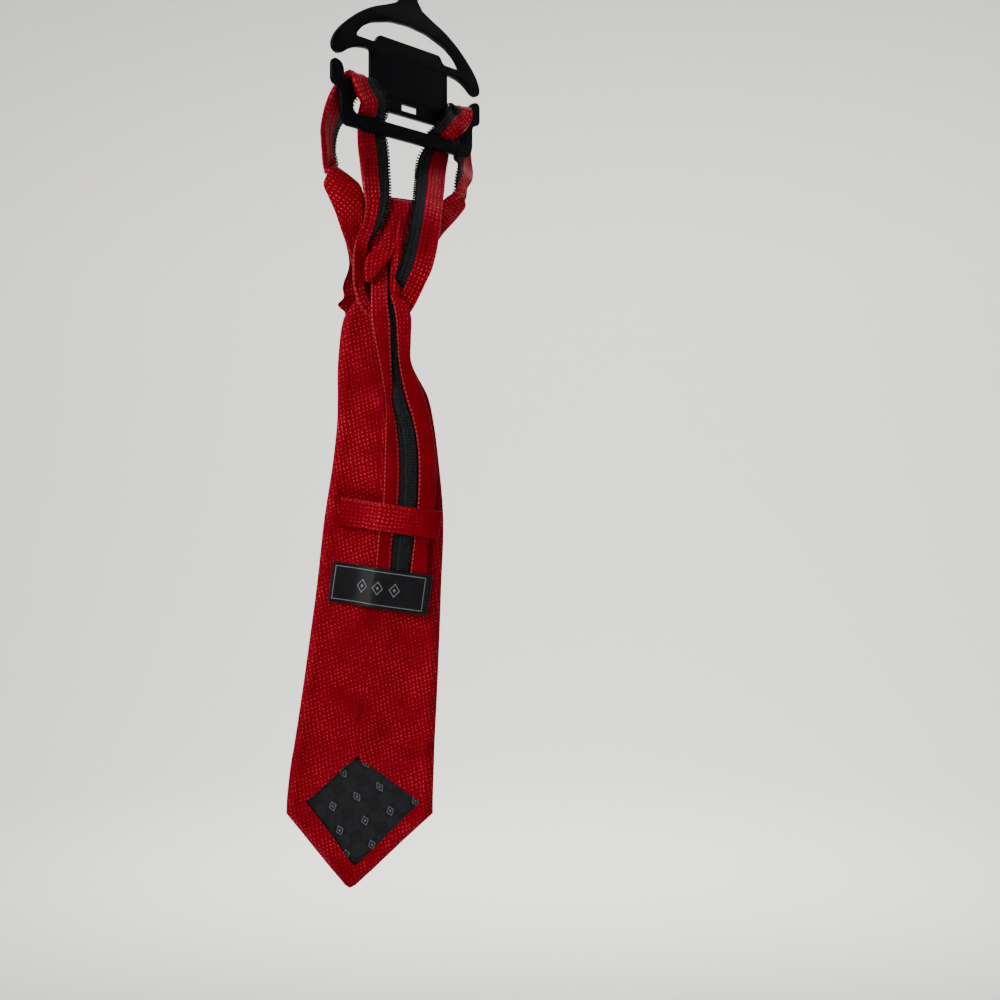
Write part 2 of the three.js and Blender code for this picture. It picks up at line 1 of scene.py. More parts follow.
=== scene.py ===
import math
import bpy
import bmesh
import numpy as np
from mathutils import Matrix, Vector


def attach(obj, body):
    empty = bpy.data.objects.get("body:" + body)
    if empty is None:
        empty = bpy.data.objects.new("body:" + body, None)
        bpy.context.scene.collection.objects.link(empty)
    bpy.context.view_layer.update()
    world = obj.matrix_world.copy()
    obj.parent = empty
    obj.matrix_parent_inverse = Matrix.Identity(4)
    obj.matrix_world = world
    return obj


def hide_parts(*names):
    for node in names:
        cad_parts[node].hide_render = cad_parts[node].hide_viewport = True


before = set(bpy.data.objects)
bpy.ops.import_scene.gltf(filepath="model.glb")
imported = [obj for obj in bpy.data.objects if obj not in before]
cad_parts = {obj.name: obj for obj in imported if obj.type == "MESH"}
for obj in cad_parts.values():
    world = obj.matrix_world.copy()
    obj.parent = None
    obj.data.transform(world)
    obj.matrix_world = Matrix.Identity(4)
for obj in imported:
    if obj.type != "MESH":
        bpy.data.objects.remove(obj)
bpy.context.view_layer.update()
print("frame loaded,", len(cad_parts), "solids")

mm = 0.001
body = "root"
plainDots = 0.8  # how far the cloth's dots show, and so how light its ground is painted, where a piece says nothing else
scene = bpy.context.scene


# ---- small tools for meshes and nodes; all lengths here are millimetres ----
def linear(hexColour):
    parts = [int(hexColour[i:i + 2], 16) / 255 for i in (1, 3, 5)]
    return [c / 12.92 if c <= 0.04045 else ((c + 0.055) / 1.055) ** 2.4 for c in parts] + [1.0]


def addNode(tree, kind, values=None):
    # kind may end in an operation; values are settings and links, and a bare node means its first output
    kind, _, operation = kind.partition(" ")
    node = tree.nodes.new("ShaderNode" + kind)
    if operation:
        node.operation = operation
    for key, value in (values or {}).items():
        if isinstance(value, (bpy.types.Node, bpy.types.NodeSocket)):
            socket = value.outputs[0] if isinstance(value, bpy.types.Node) else value
            tree.links.new(socket, node.inputs[key])
        elif isinstance(key, str) and hasattr(node, key) and key not in node.inputs:
            setattr(node, key, value)
        else:
            node.inputs[key].default_value = value
    return node


def smoothPath(points, steps):
    # a curve through every row, with so many steps between two rows
    p = np.asarray(points, float)
    ends = np.vstack([2 * p[0] - p[1], p, 2 * p[-1] - p[-2]])
    out = []
    for i in range(1, len(ends) - 2):
        a, b, c, d = ends[i - 1:i + 3]
        ab, bc, cd = (max(np.linalg.norm(q) ** 0.5, 1e-6) for q in (b - a, c - b, d - c))
        m1 = (c - b) + bc * ((b - a) / ab - (c - a) / (ab + bc))
        m2 = (c - b) + bc * ((d - c) / cd - (d - b) / (bc + cd))
        for s in np.arange(steps) / steps:
            out.append((2 * s**3 - 3 * s**2 + 1) * b + (s**3 - 2 * s**2 + s) * m1
                       + (3 * s**2 - 2 * s**3) * c + (s**3 - s**2) * m2)
    out.append(p[-1])
    return np.array(out)


def unitRows(v):
    return v / np.maximum(np.linalg.norm(v, axis=-1, keepdims=True), 1e-9)


def runAlong(path):
    # the distance along a path at each of its points
    return np.concatenate([[0], np.cumsum(np.linalg.norm(np.diff(path, axis=0), axis=1))])


def rowsAt(rows, places, at):
    # every column of rows, read off between the rows' own places
    return np.stack([np.interp(at, places, column) for column in np.asarray(rows).T], axis=1)


def waver(x, z, size, seed=0.0):
    # slow unevenness between -1 and 1, the same each run
    a, b = x / size, z / size
    return (np.sin(1.7 * a + 0.9 * b + seed) * np.sin(1.1 * b - 0.6 * a + 2.1 + seed)
            + 0.6 * np.sin(2.9 * b + 1.3 * a + 4.0 * seed + 0.7) * np.sin(2.3 * a + 1.9)) / 1.6


def ridges(x, z, lines):
    # raised (or sunk) folds: each line is from x, z to x, z with a height and a half width
    total = np.zeros_like(x)
    for x0, z0, x1, z1, height, width in lines:
        dx, dz = x1 - x0, z1 - z0
        t = np.clip(((x - x0) * dx + (z - z0) * dz) / (dx * dx + dz * dz), 0, 1)
        d2 = (x - x0 - t * dx) ** 2 + (z - z0 - t * dz) ** 2
        total += height * np.exp(-d2 / width**2)
    return total


def meshPiece(name, node, points, faces, uvs, material, sharp=None, trim=None):
    # node is the solid that the piece stands for
    mesh = bpy.data.meshes.new(name)
    mesh.from_pydata([tuple(p * mm) for p in points], [], faces)
    if uvs is not None:
        layer = mesh.uv_layers.new(name="weave")
        corner = np.array([uvs[loop.vertex_index] for loop in mesh.loops], float)
        layer.data.foreach_set("uv", corner.ravel())
    if trim is not None:
        # per point: how far the dots show, which also sets how dark the ground is painted as shade, how
        # much of it is hem, and the distance along the piece
        table = mesh.attributes.new("trim", "FLOAT_VECTOR", "POINT")
        table.data.foreach_set("vector", np.asarray(trim, float).ravel())
    tidy = bmesh.new()
    tidy.from_mesh(mesh)
    bmesh.ops.recalc_face_normals(tidy, faces=tidy.faces)
    tidy.to_mesh(mesh)
    tidy.free()
    mesh.shade_smooth()
    if sharp:
        mesh.set_sharp_from_angle(angle=math.radians(sharp))
    mesh.materials.append(material)
    piece = bpy.data.objects.new(name, mesh)
    scene.collection.objects.link(piece)
    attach(piece, body)
    if node:
        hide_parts(node)
    return piece


def declareCloth(width, length, area=None, withPieces=()):
    # the flat size of the cloth, given in millimetres, with 10 mm as the narrowest; it is worked out here
    # and not kept; with 10 mm as the narrowest that can be told
    width, length = max(float(width), 10), float(length)
    extra = {"area": area * mm * mm} if area else {}
    if withPieces:
        extra["with_pieces"] = list(withPieces)


def declareCut(wide, z):
    # the same for a cloth of uneven width, with its width at each z
    area = float(np.abs(np.trapz(wide, z)))
    declareCloth(wide.max(), np.ptp(z), area=area)


def ringFaces(rows, count, half=0):
    # faces between rings of so many points, and the two ends where half of a ring is its front
    faces = []
    for i in range(rows - 1):
        for k in range(count):
            n = (k + 1) % count
            faces.append((i * count + k, i * count + n, (i + 1) * count + n, (i + 1) * count + k))
    if half:
        # the front columns are 0..half, the back ones come back from half to 0
        for row, turned in ((0, True), (rows - 1, False)):
            for k in range(half):
                a, b = k, k + 1
                c = count - k - 1 if k + 1 < half else half
                d = (count - k) % count
                quad = [a, b, c, d] if k + 1 < half else [a, b, d]
                if k == 0:
                    quad = [a, b, c]
                faces.append(tuple(row * count + q for q in (reversed(quad) if turned else quad)))
    return faces


def clothBody(name, node, left, right, style, material, bow=None, lift=None, dotsAndShade=None, hem=None):
    # a closed body of folded cloth between a left and a right edge, rounded all round
    thick, columns = style["thick"], style["columns"]
    middle = (left + right) / 2
    along = unitRows(np.gradient(middle, axis=0))
    radius = thick / 2
    # three more rings round off each end
    turns = [math.radians(a) for a in (85, 60, 30)]
    first = [np.array([p[0] - along[0] * radius * math.sin(a) for a in turns]) for p in (left, right)]
    last = [np.array([p[-1] + along[-1] * radius * math.sin(a) for a in turns[::-1]])
            for p in (left, right)]
    left, right = (np.vstack([f, p, b]) for f, p, b in zip(first, (left, right), last))
    caps = [math.cos(a) for a in turns]
    scale = np.concatenate([caps, np.ones(len(left) - 2 * len(caps)), caps[::-1]])
    if bow is not None:
        bow = np.pad(bow, len(turns), mode="edge")
    middle = (left + right) / 2
    along = unitRows(np.gradient(middle, axis=0))
    across = right - left
    half = np.linalg.norm(across, axis=1) / 2
    unit = unitRows(across)
    normal = unitRows(np.cross(along, unit))
    down = runAlong(middle)
    bend = np.radians([0, 18, 36, 54, 72])
    soft = style.get("edge", radius)
    spin = math.radians(style.get("spin", 0))
    points, uvs, trim = [], [], []
    count = 2 * columns
    for i in range(len(left)):
        r = min(soft, half[i] * 0.9)
        edge = r * (1 - np.cos(bend))
        inner = np.linspace(-half[i] + r, half[i] - r, columns + 1 - 2 * len(bend))
        x = np.concatenate([-half[i] + edge, inner, (half[i] - edge)[::-1]])
        d = np.clip((half[i] - np.abs(x)) / r, 0, 1)
        dome = np.sqrt(np.maximum(1 - (1 - d) ** 2, 0))
        share = x / half[i]
        for side, columnsOf in ((1, slice(None)), (-1, slice(-2, 0, -1))):
            xs, rs, us = x[columnsOf], dome[columnsOf], share[columnsOf]
            flat = middle[i] + unit[i] * xs[:, None]
            rise = side * radius * scale[i] * rs
            if bow is not None:
                rise = rise + bow[i] * np.sqrt(np.maximum(1 - us**2, 0))
            if lift is not None:
                rise = rise + lift(us, xs, down[i], side, flat[:, 0], flat[:, 2]) * (0.15 + 0.85 * rs)
            points.append(flat + normal[i] * rise[:, None])
            uvs.append(np.stack([xs * math.cos(spin) - down[i] * math.sin(spin),
                                 xs * math.sin(spin) + down[i] * math.cos(spin)], axis=1))
            dots = dotsAndShade(us, down[i], flat[:, 0], flat[:, 2]) if dotsAndShade else plainDots
            edges = hem(us, down[i]) if hem else 0.0
            trim.append(np.stack([dots + 0 * us, edges + 0 * us, down[i] + 0 * us], axis=1))
    points, uvs, trim = np.vstack(points), np.vstack(uvs), np.vstack(trim)
    faces = ringFaces(len(left), count, columns)
    return meshPiece(name, node, points, faces, uvs, material, trim=trim)


def coilPiece(name, path, across, normal, coil, material):
    # a nylon coil: one filament that turns round the tape's free edge
    down = runAlong(path)
    turns = int(down[-1] / coil["pitch"])
    count = turns * coil["perTurn"] + 1
    at = np.linspace(0, turns * coil["pitch"], count)
    centre, side, face = (rowsAt(rows, down, at) for rows in (path, across, normal))
    side, face = unitRows(side), unitRows(face)
    phase = at / coil["pitch"] * 2 * math.pi
    line = (centre + side * (coil["reach"] * np.cos(phase))[:, None]
            + face * (coil["height"] * np.sin(phase))[:, None])
    tangent = unitRows(np.gradient(line, axis=0))
    out = unitRows(line - centre - tangent * np.sum((line - centre) * tangent, axis=1, keepdims=True))
    binormal = np.cross(tangent, out)
    points, sides = [], coil["sides"]
    for k in range(sides):
        a = 2 * math.pi * k / sides
        points.append(line + coil["wire"] / 2 * (out * math.cos(a) + binormal * math.sin(a)))
    points = np.stack(points, axis=1).reshape(-1, 3)
    faces = ringFaces(count, sides)
    faces.append(tuple(range(sides))[::-1])
    faces.append(tuple(range((count - 1) * sides, count * sides)))
    return meshPiece(name, None, points, faces, None, material)


# ---- materials; the scale of a wave texture is threadWave over the pitch of its bands ----
threadWave = 0.314


def newMaterial(name):
    mat = bpy.data.materials.new(name)
    mat.use_nodes = True
    mat.node_tree.nodes.clear()
    return mat, mat.node_tree


clothLook = {
    "ground": "#5C0210",       # deep red polyester
    "groundLight": "#A60A26",  # the same where the floats lie flatter; where few dots show, painted shade pulls the ground away from it, darker
    "dot": "#D24E52",          # raised pin dot, painted lighter pink as the highlight it catches
    "sheen": "#FF2A3C",        # the floats shine in their own colour
    "hemPitch": 2.1,           # mm between the stitches that show along a hem
    "pitch": (1.85, 2.0),      # mm between dots, across and down
    "twill": 0.85,             # mm between the ground's diagonal floats, drawn twice as coarse to show
}


def wovenDobby(name, look):
    # dobby woven polyester: a satin ground gives soft broad sheen, raised dots are painted lighter as
    # small highlights, and the ground is painted darker as shade where few dots show
    mat, t = newMaterial(name)
    uv = addNode(t, "UVMap", {"uv_map": "weave"})
    px, py = look["pitch"]
    cells = addNode(t, "VectorMath MULTIPLY", {1: (1 / px, 1 / py, 0), 0: uv})
    sway = addNode(t, "TexNoise", {"Scale": 0.09, "Detail": 2.0, "Vector": uv})
    swayed = addNode(t, "VectorMath MULTIPLY_ADD", {1: (0.9, 0.9, 0), 0: sway.outputs["Color"], 2: cells})
    floor = addNode(t, "VectorMath FLOOR", {0: swayed})
    inside = addNode(t, "VectorMath FRACTION", {0: swayed})
    random = addNode(t, "TexWhiteNoise", {"noise_dimensions": "2D", "Vector": floor})
    jitter = addNode(t, "VectorMath MULTIPLY_ADD", {1: (0.22, 0.22, 0), 2: (-0.61, -0.61, 0),
            0: random.outputs["Color"]})
    centred = addNode(t, "VectorMath ADD", {0: inside, 1: jitter})
    squash = addNode(t, "VectorMath MULTIPLY", {1: (1.15, 0.86, 0), 0: centred})
    far = addNode(t, "VectorMath LENGTH", {0: squash})
    dot = addNode(t, "MapRange", {"interpolation_type": "SMOOTHSTEP", "From Min": 0.34, "From Max": 0.12,
            "To Min": 0.0, "To Max": 1.0, "Value": far.outputs["Value"]})
    trim = addNode(t, "Attribute", {"attribute_name": "trim"})
    part = addNode(t, "SeparateXYZ", {0: trim.outputs["Vector"]})
    slow = addNode(t, "TexNoise", {"Scale": 0.06, "Detail": 3.0, "Vector": uv})
    fade = addNode(t, "MapRange", {"From Min": 0.36, "From Max": 0.6, "To Min": 0.3, "To Max": 1.0,
            "Value": slow.outputs["Fac"]})
    strength = addNode(t, "MapRange", {"To Min": 0.4, "To Max": 1.0, "Value": random.outputs["Value"]})
    shown = addNode(t, "Math MULTIPLY", {0: part, 1: fade})
    strong = addNode(t, "Math MULTIPLY", {0: shown, 1: strength})
    pinDots = addNode(t, "Math MULTIPLY", {0: dot, 1: strong})
    turns = addNode(t, "Math MULTIPLY", {1: 2 * math.pi / look["hemPitch"], 0: part.outputs[2]})
    stitch = addNode(t, "Math SINE", {0: turns})
    stitchOn = addNode(t, "MapRange", {"From Min": -0.5, "From Max": 0.6, "To Min": 0.1, "To Max": 0.75,
            "Value": stitch})
    hemDots = addNode(t, "Math MULTIPLY", {0: part.outputs[1], 1: stitchOn})
    mask = addNode(t, "Math MAXIMUM", {0: pinDots, 1: hemDots})
    twill = addNode(t, "TexWave", {"wave_type": "BANDS", "bands_direction": "DIAGONAL",
            "Scale": threadWave / look["twill"], "Distortion": 1.2, "Detail": 2.0, "Detail Scale": 1.5,
            "Vector": uv})
    # where few dots show, the ground's own diagonal floats show more
    floats = addNode(t, "MapRange", {"From Min": 0.1, "From Max": 0.9, "To Min": 0.42, "To Max": 0.36,
            "Value": part})
    # painted shade: where few dots show, the ground is painted darker
    paintedShade = addNode(t, "Math MULTIPLY_ADD", {1: 0.34, 2: -0.27, 0: part})
    groundMix = addNode(t, "Math MULTIPLY_ADD", {0: twill.outputs["Fac"], 1: floats, 2: paintedShade})
    groundSum = addNode(t, "Math MULTIPLY_ADD", {1: 0.7, 0: slow.outputs["Fac"], 2: groundMix})
    ground = addNode(t, "Mix", {"data_type": "RGBA", 6: linear(look["ground"]),
            7: linear(look["groundLight"]), 0: groundSum})
    colour = addNode(t, "Mix", {"data_type": "RGBA", 7: linear(look["dot"]), 0: mask,
            6: ground.outputs[2]})
    rough = addNode(t, "MapRange", {"To Min": 0.6, "To Max": 0.5, "Value": mask})
    fine = addNode(t, "Math MULTIPLY", {1: 0.5, 0: twill.outputs["Fac"]})
    height = addNode(t, "Math ADD", {0: mask, 1: fine})
    bump = addNode(t, "Bump", {"Strength": 0.8, "Distance": 0.00018, "Height": height})
    shader = addNode(t, "BsdfPrincipled", {"Specular IOR Level": 0.2,
            "Specular Tint": linear(look["sheen"]), "Base Color": colour.outputs[2], "Roughness": rough,
            "Normal": bump})
    addNode(t, "OutputMaterial", {"Surface": shader})
    return mat


def tapeWeave(name, look):
    # woven polyester tape: fine ribs across, dull, with a sewn ladder of small stitches
    mat, t = newMaterial(name)
    uv = addNode(t, "UVMap", {"uv_map": "weave"})
    ribs = addNode(t, "TexWave", {"wave_type": "BANDS", "bands_direction": "Y",
            "Scale": threadWave / look["pitch"], "Distortion": 0.6, "Vector": uv})
    cords = addNode(t, "TexWave", {"wave_type": "BANDS", "bands_direction": "X",
            "Scale": threadWave / (look["pitch"] * 1.4), "Distortion": 0.4, "Vector": uv})
    both = addNode(t, "Math MULTIPLY", {0: ribs.outputs["Fac"], 1: cords.outputs["Fac"]})
    lint = addNode(t, "TexNoise", {"Scale": 1.2, "Detail": 3.0, "Vector": uv})
    blend = addNode(t, "Math MULTIPLY_ADD", {1: 0.6, 0: both, 2: lint.outputs["Fac"]})
    tone = addNode(t, "Mix", {"data_type": "RGBA", 6: linear(look["dark"]), 7: linear(look["light"]),
            0: blend})
    shade, height = tone.outputs[2], both
    split = addNode(t, "SeparateXYZ", {0: uv})
    angle = addNode(t, "Math MULTIPLY", {1: 2 * math.pi / look["rungs"], 0: split.outputs[1]})
    beat = addNode(t, "Math SINE", {0: angle})
    rung = addNode(t, "MapRange", {"From Min": 0.0, "From Max": 0.5, "Value": beat})
    for at in look["ladder"]:
        off = addNode(t, "Math SUBTRACT", {1: at, 0: split})
        near = addNode(t, "Math ABSOLUTE", {0: off})
        line = addNode(t, "MapRange", {"From Min": 0.42, "From Max": 0.2, "Value": near})
        on = addNode(t, "Math MULTIPLY", {0: line, 1: rung})
        mixed = addNode(t, "Mix", {"data_type": "RGBA", 7: linear(look["thread"]), 0: on, 6: shade})
        raised = addNode(t, "Math MAXIMUM", {0: on, 1: height})
        shade, height = mixed.outputs[2], raised
    bump = addNode(t, "Bump", {"Strength": 0.8, "Distance": 0.0002, "Height": height})
    shader = addNode(t, "BsdfPrincipled", {"Specular IOR Level": 0.25, "Roughness": look["rough"],
            "Base Color": shade, "Normal": bump})
    addNode(t, "OutputMaterial", {"Surface": shader})
    return mat


def satinLabel(name, look):
    # woven damask label: smooth satin face, a thin border and three small lozenges in grey thread
    mat, t = newMaterial(name)
    uv = addNode(t, "UVMap", {"uv_map": "weave"})
    split = addNode(t, "SeparateXYZ", {0: uv})
    up = addNode(t, "Math ABSOLUTE", {0: split})
    along = addNode(t, "Math SUBTRACT", {1: look["length"] / 2, 0: split.outputs[1]})
    out = addNode(t, "Math ABSOLUTE", {0: along})
    toSide = addNode(t, "Math SUBTRACT", {0: look["height"] / 2, 1: up})
    toEnd = addNode(t, "Math SUBTRACT", {0: look["length"] / 2, 1: out})
    toEdge = addNode(t, "Math MINIMUM", {0: toSide, 1: toEnd})
    border = addNode(t, "Math COMPARE", {1: look["border"], 2: look["line"] / 2, 0: toEdge})
    # three lozenges, each a ring and a core, in the middle of the label
    halfStep = look["lozengeStep"] / 2
    shifted = addNode(t, "Math ADD", {1: halfStep, 0: along})
    swung = addNode(t, "Math PINGPONG", {1: halfStep, 0: shifted})
    fromCore = addNode(t, "Math SUBTRACT", {0: halfStep, 1: swung})
    diamond = addNode(t, "Math MULTIPLY_ADD", {1: 0.8, 0: up, 2: fromCore})
    ring = addNode(t, "Math COMPARE", {1: look["lozenge"], 2: look["line"] * 0.7, 0: diamond})
    core = addNode(t, "Math LESS_THAN", {1: look["lozenge"] * 0.3, 0: diamond})
    lozenge = addNode(t, "Math MAXIMUM", {0: ring, 1: core})
    inside = addNode(t, "Math LESS_THAN", {1: look["lozengeStep"] * 1.5, 0: out})
    three = addNode(t, "Math MULTIPLY", {0: lozenge, 1: inside})
    mark = addNode(t, "Math MAXIMUM", {0: border, 1: three})
    warp = addNode(t, "TexWave", {"wave_type": "BANDS", "bands_direction": "X",
            "Scale": threadWave / look["thread"], "Distortion": 0.8, "Vector": uv})
    tone = addNode(t, "Mix", {"data_type": "RGBA", 6: linear(look["dark"]), 7: linear(look["light"]),
            0: warp.outputs["Fac"]})
    colour = addNode(t, "Mix", {"data_type": "RGBA", 7: linear(look["mark"]), 0: mark,
            6: tone.outputs[2]})
    height = addNode(t, "Math MULTIPLY_ADD", {1: 0.8, 0: mark, 2: warp.outputs["Fac"]})
    bump = addNode(t, "Bump", {"Strength": 0.5, "Distance": 0.00012, "Height": height})
    shader = addNode(t, "BsdfPrincipled", {"Specular IOR Level": 0.24, "Roughness": 0.4,
            "Anisotropic": 0.5, "Base Color": colour.outputs[2], "Normal": bump})
    addNode(t, "OutputMaterial", {"Surface": shader})
    return mat


def checkLining(name, look):
    # jacquard polyester lining: tone on tone squares, with small silver thread motifs in every other one
    mat, t = newMaterial(name)
    uv = addNode(t, "UVMap", {"uv_map": "weave"})
    turned = addNode(t, "Mapping", {"Rotation": (0, 0, math.radians(look["turn"])),
            "Scale": (1 / look["square"],) * 3, "Vector": uv})
    checks = addNode(t, "TexChecker", {"Scale": 1.0, "Vector": turned})
    half = addNode(t, "VectorMath SCALE", {"Scale": 0.5, 0: turned})
    cell = addNode(t, "VectorMath FRACTION", {0: half})
    centred = addNode(t, "VectorMath SUBTRACT", {1: (0.25, 0.25, 0), 0: cell})
    folded = addNode(t, "VectorMath ABSOLUTE", {0: centred})
    far = addNode(t, "VectorMath DOT_PRODUCT", {1: (1, 0.7, 0), 0: folded})
    ring = addNode(t, "Math COMPARE", {1: 0.13, 2: 0.022, 0: far.outputs["Value"]})
    core = addNode(t, "Math LESS_THAN", {1: 0.05, 0: far.outputs["Value"]})
    motif = addNode(t, "Math MAXIMUM", {0: ring, 1: core})
    thread = addNode(t, "TexWave", {"wave_type": "BANDS", "bands_direction": "X",
            "Scale": threadWave / look["thread"], "Distortion": 0.5, "Vector": uv})
    tone = addNode(t, "Mix", {"data_type": "RGBA", 6: linear(look["dark"]), 7: linear(look["light"]),
            0: checks.outputs["Fac"]})
    colour = addNode(t, "Mix", {"data_type": "RGBA", 7: linear(look["silver"]), 0: motif,
            6: tone.outputs[2]})
    gloss = addNode(t, "MapRange", {"To Min": 0.62, "To Max": 0.42, "Value": checks.outputs["Fac"]})
    raised = addNode(t, "Math ADD", {0: thread.outputs["Fac"], 1: motif})
    bump = addNode(t, "Bump", {"Strength": 0.5, "Distance": 0.0001, "Height": raised})
    shader = addNode(t, "BsdfPrincipled", {"Specular IOR Level": 0.35, "Base Color": colour.outputs[2],
            "Roughness": gloss, "Normal": bump})
    addNode(t, "OutputMaterial", {"Surface": shader})
    return mat


def mouldedPlastic(name, colour, rough, grain):
    # injection moulded polystyrene: satin black with a very fine grain and faint handling marks
    mat, t = newMaterial(name)
    where = addNode(t, "TexCoord")
    fine = addNode(t, "TexNoise", {"Scale": 1000 / grain, "Detail": 2.0,
            "Vector": where.outputs["Object"]})
    rubbed = addNode(t, "TexNoise", {"Scale": 60.0, "Detail": 5.0, "Vector": where.outputs["Object"]})
    tone = addNode(t, "Mix", {"data_type": "RGBA", 6: linear(colour[0]), 7: linear(colour[1]),
            0: rubbed.outputs["Fac"]})
    gloss = addNode(t, "MapRange", {"To Min": rough - 0.08, "To Max": rough + 0.1,
            "Value": rubbed.outputs["Fac"]})
    bump = addNode(t, "Bump", {"Strength": 0.25, "Distance": 0.00004, "Height": fine.outputs["Fac"]})
    shader = addNode(t, "BsdfPrincipled", {"IOR": 1.55, "Specular IOR Level": 0.07,
            "Base Color": tone.outputs[2], "Roughness": gloss, "Normal": bump})
    addNode(t, "OutputMaterial", {"Surface": shader})
    return mat


redDobby = wovenDobby("redDobbyPolyester", clothLook)
blackTape = tapeWeave("blackZipTape", {
    "dark": "#050608", "light": "#101318", "pitch": 0.9, "rough": 0.8,
    "ladder": (-1.5, 0.55, 1.6), "rungs": 1.4, "thread": "#2A2F38"})
blackCoil = mouldedPlastic("blackNylonCoil", ("#06070A", "#0E1014"), 0.42, 0.4)
blackPlastic = mouldedPlastic("blackPolystyrene", ("#000106", "#01030A"), 0.4, 0.3)
blackSatin = satinLabel("blackSatinLabel", {
    "length": 47, "height": 19, "border": 1.7, "line": 0.35, "lozenge": 2.4, "lozengeStep": 8.0,
    "thread": 0.5, "dark": "#020308", "light": "#080A12", "mark": "#7E828A"})
liningCheck = checkLining("blackLiningCheck", {
    "square": 6.2, "turn": 22, "thread": 0.5, "dark": "#030509", "light": "#10121B", "silver": "#5A5F68"})
print("materials made")


# ---- camera, floor and light ----
view = {"place": (0.0431, -0.55, -0.2578), "width": 0.473}
camera = bpy.data.objects.new("camera", bpy.data.cameras.new("camera"))
scene.collection.objects.link(camera)
camera.location = view["place"]
camera.rotation_euler = (math.pi / 2, 0, 0)
camera.data.sensor_width = 36
camera.data.lens = camera.data.sensor_width / 2 / (view["width"] / 2 / -view["place"][1])
scene.camera = camera

studio = {"floorDown": -0.72, "radius": 2.4, "fillet": 1.0, "top": 2.6, "around": 64, "paper": "#ECEBE7"}


def makeStudio():
    flat = studio["radius"] - studio["fillet"]
    profile = [(r, studio["floorDown"]) for r in (0.02, 0.3, 0.7, 1.1)]
    for a in np.radians(np.linspace(-90, 0, 15)):
        profile.append((flat + studio["fillet"] * math.cos(a),
                        studio["floorDown"] + studio["fillet"] * (1 + math.sin(a))))
    profile.append((studio["radius"], studio["top"]))
    around = studio["around"]
    points = [(r * math.cos(2 * math.pi * k / around), r * math.sin(2 * math.pi * k / around), z)
              for r, z in profile for k in range(around)]
    faces = [tuple(range(around))] + [face[::-1] for face in ringFaces(len(profile), around)]
    mesh = bpy.data.meshes.new("studioFloor")
    mesh.from_pydata(points, [], faces)
    mesh.shade_smooth()
    floor = bpy.data.objects.new("studioFloor", mesh)
    # matt seamless paper, near white
    paper, t = newMaterial("paleStudioPaper")
    shader = addNode(t, "BsdfPrincipled", {"Base Color": linear(studio["paper"]), "Roughness": 0.9})
    addNode(t, "OutputMaterial", {"Surface": shader})
    mesh.materials.append(paper)
    scene.collection.objects.link(floor)


# place, aim, size and power; the last two stand behind the tie and light only the paper
lamps = {
    "keyLeft": {"place": (-0.72, -0.52, 0.16), "aim": (-0.01, 0, -0.27), "size": 0.42, "power": 6.4},
    "fillRight": {"place": (0.9, -0.9, 0.0), "aim": (0, 0, -0.25), "size": 0.9, "power": 0.9},
    "overhead": {"place": (-0.1, -0.35, 0.9), "aim": (0, 0, -0.2), "size": 0.6, "power": 3.2},
    "paperBehind": {"place": (0.1, 0.7, 0.3), "aim": (0.1, 2.4, -0.2), "size": 1.2, "power": 36},
    "floorBehind": {"place": (0.2, 0.5, 0.6), "aim": (0.4, 1.2, -0.75), "size": 0.9, "power": 12},
}
room = {"colour": "#F2F3F5", "strength": 0.12}


def makeLamps():
    for name, lamp in lamps.items():
        data = bpy.data.lights.new(name, "AREA")
        data.shape, data.size, data.energy = "SQUARE", lamp["size"], lamp["power"]
        light = bpy.data.objects.new(name, data)
        light.location = lamp["place"]
        toAim = Vector(lamp["aim"]) - Vector(lamp["place"])
        light.rotation_euler = toAim.to_track_quat("-Z", "Y").to_euler()
        scene.collection.objects.link(light)
    world = bpy.data.worlds.new("paleRoom")
    scene.world = world
    world.use_nodes = True
    world.node_tree.nodes["Background"].inputs[0].default_value = linear(room["colour"])
    world.node_tree.nodes["Background"].inputs[1].default_value = room["strength"]


makeStudio()
makeLamps()


# ---- hanger: one flat moulding, turned about the vertical ----
hanger = {"yaw": 44, "thick": 2.4, "round": 0.45, "hookInside": 8, "hookBand": 4.6, "stem": 9.5,
          "hookEnd": 200, "corner": 2.2}
# one side of the outline, from the stem down to the bar's lower edge
hangerSide = [
    (4.8, -23.2), (9.5, -25.6), (14.4, -27.8), (19.3, -29.7), (24, -32), (30, -35.8), (35.6, -40.4),
    (40, -44.6), (43.2, -48.7), (45, -53), (44.6, -56), (42, -57.5), (39.1, -56.7), (36, -54.2),
    (31.5, -52), (26, -51.1), (23.6, -51.2), (23.4, -52), (23.4, -66.8), (24.2, -68), (37.2, -68),
    (38.3, -67), (38.3, -64), (39, -62), (40.3, -60.7), (42.4, -60), (44.2, -60.4), (45, -62),
    (45, -69.6), (44, -71.2), (41, -72.2), (40, -74), (40, -83), (39.2, -86), (37.4, -88.4), (34, -89.5)]


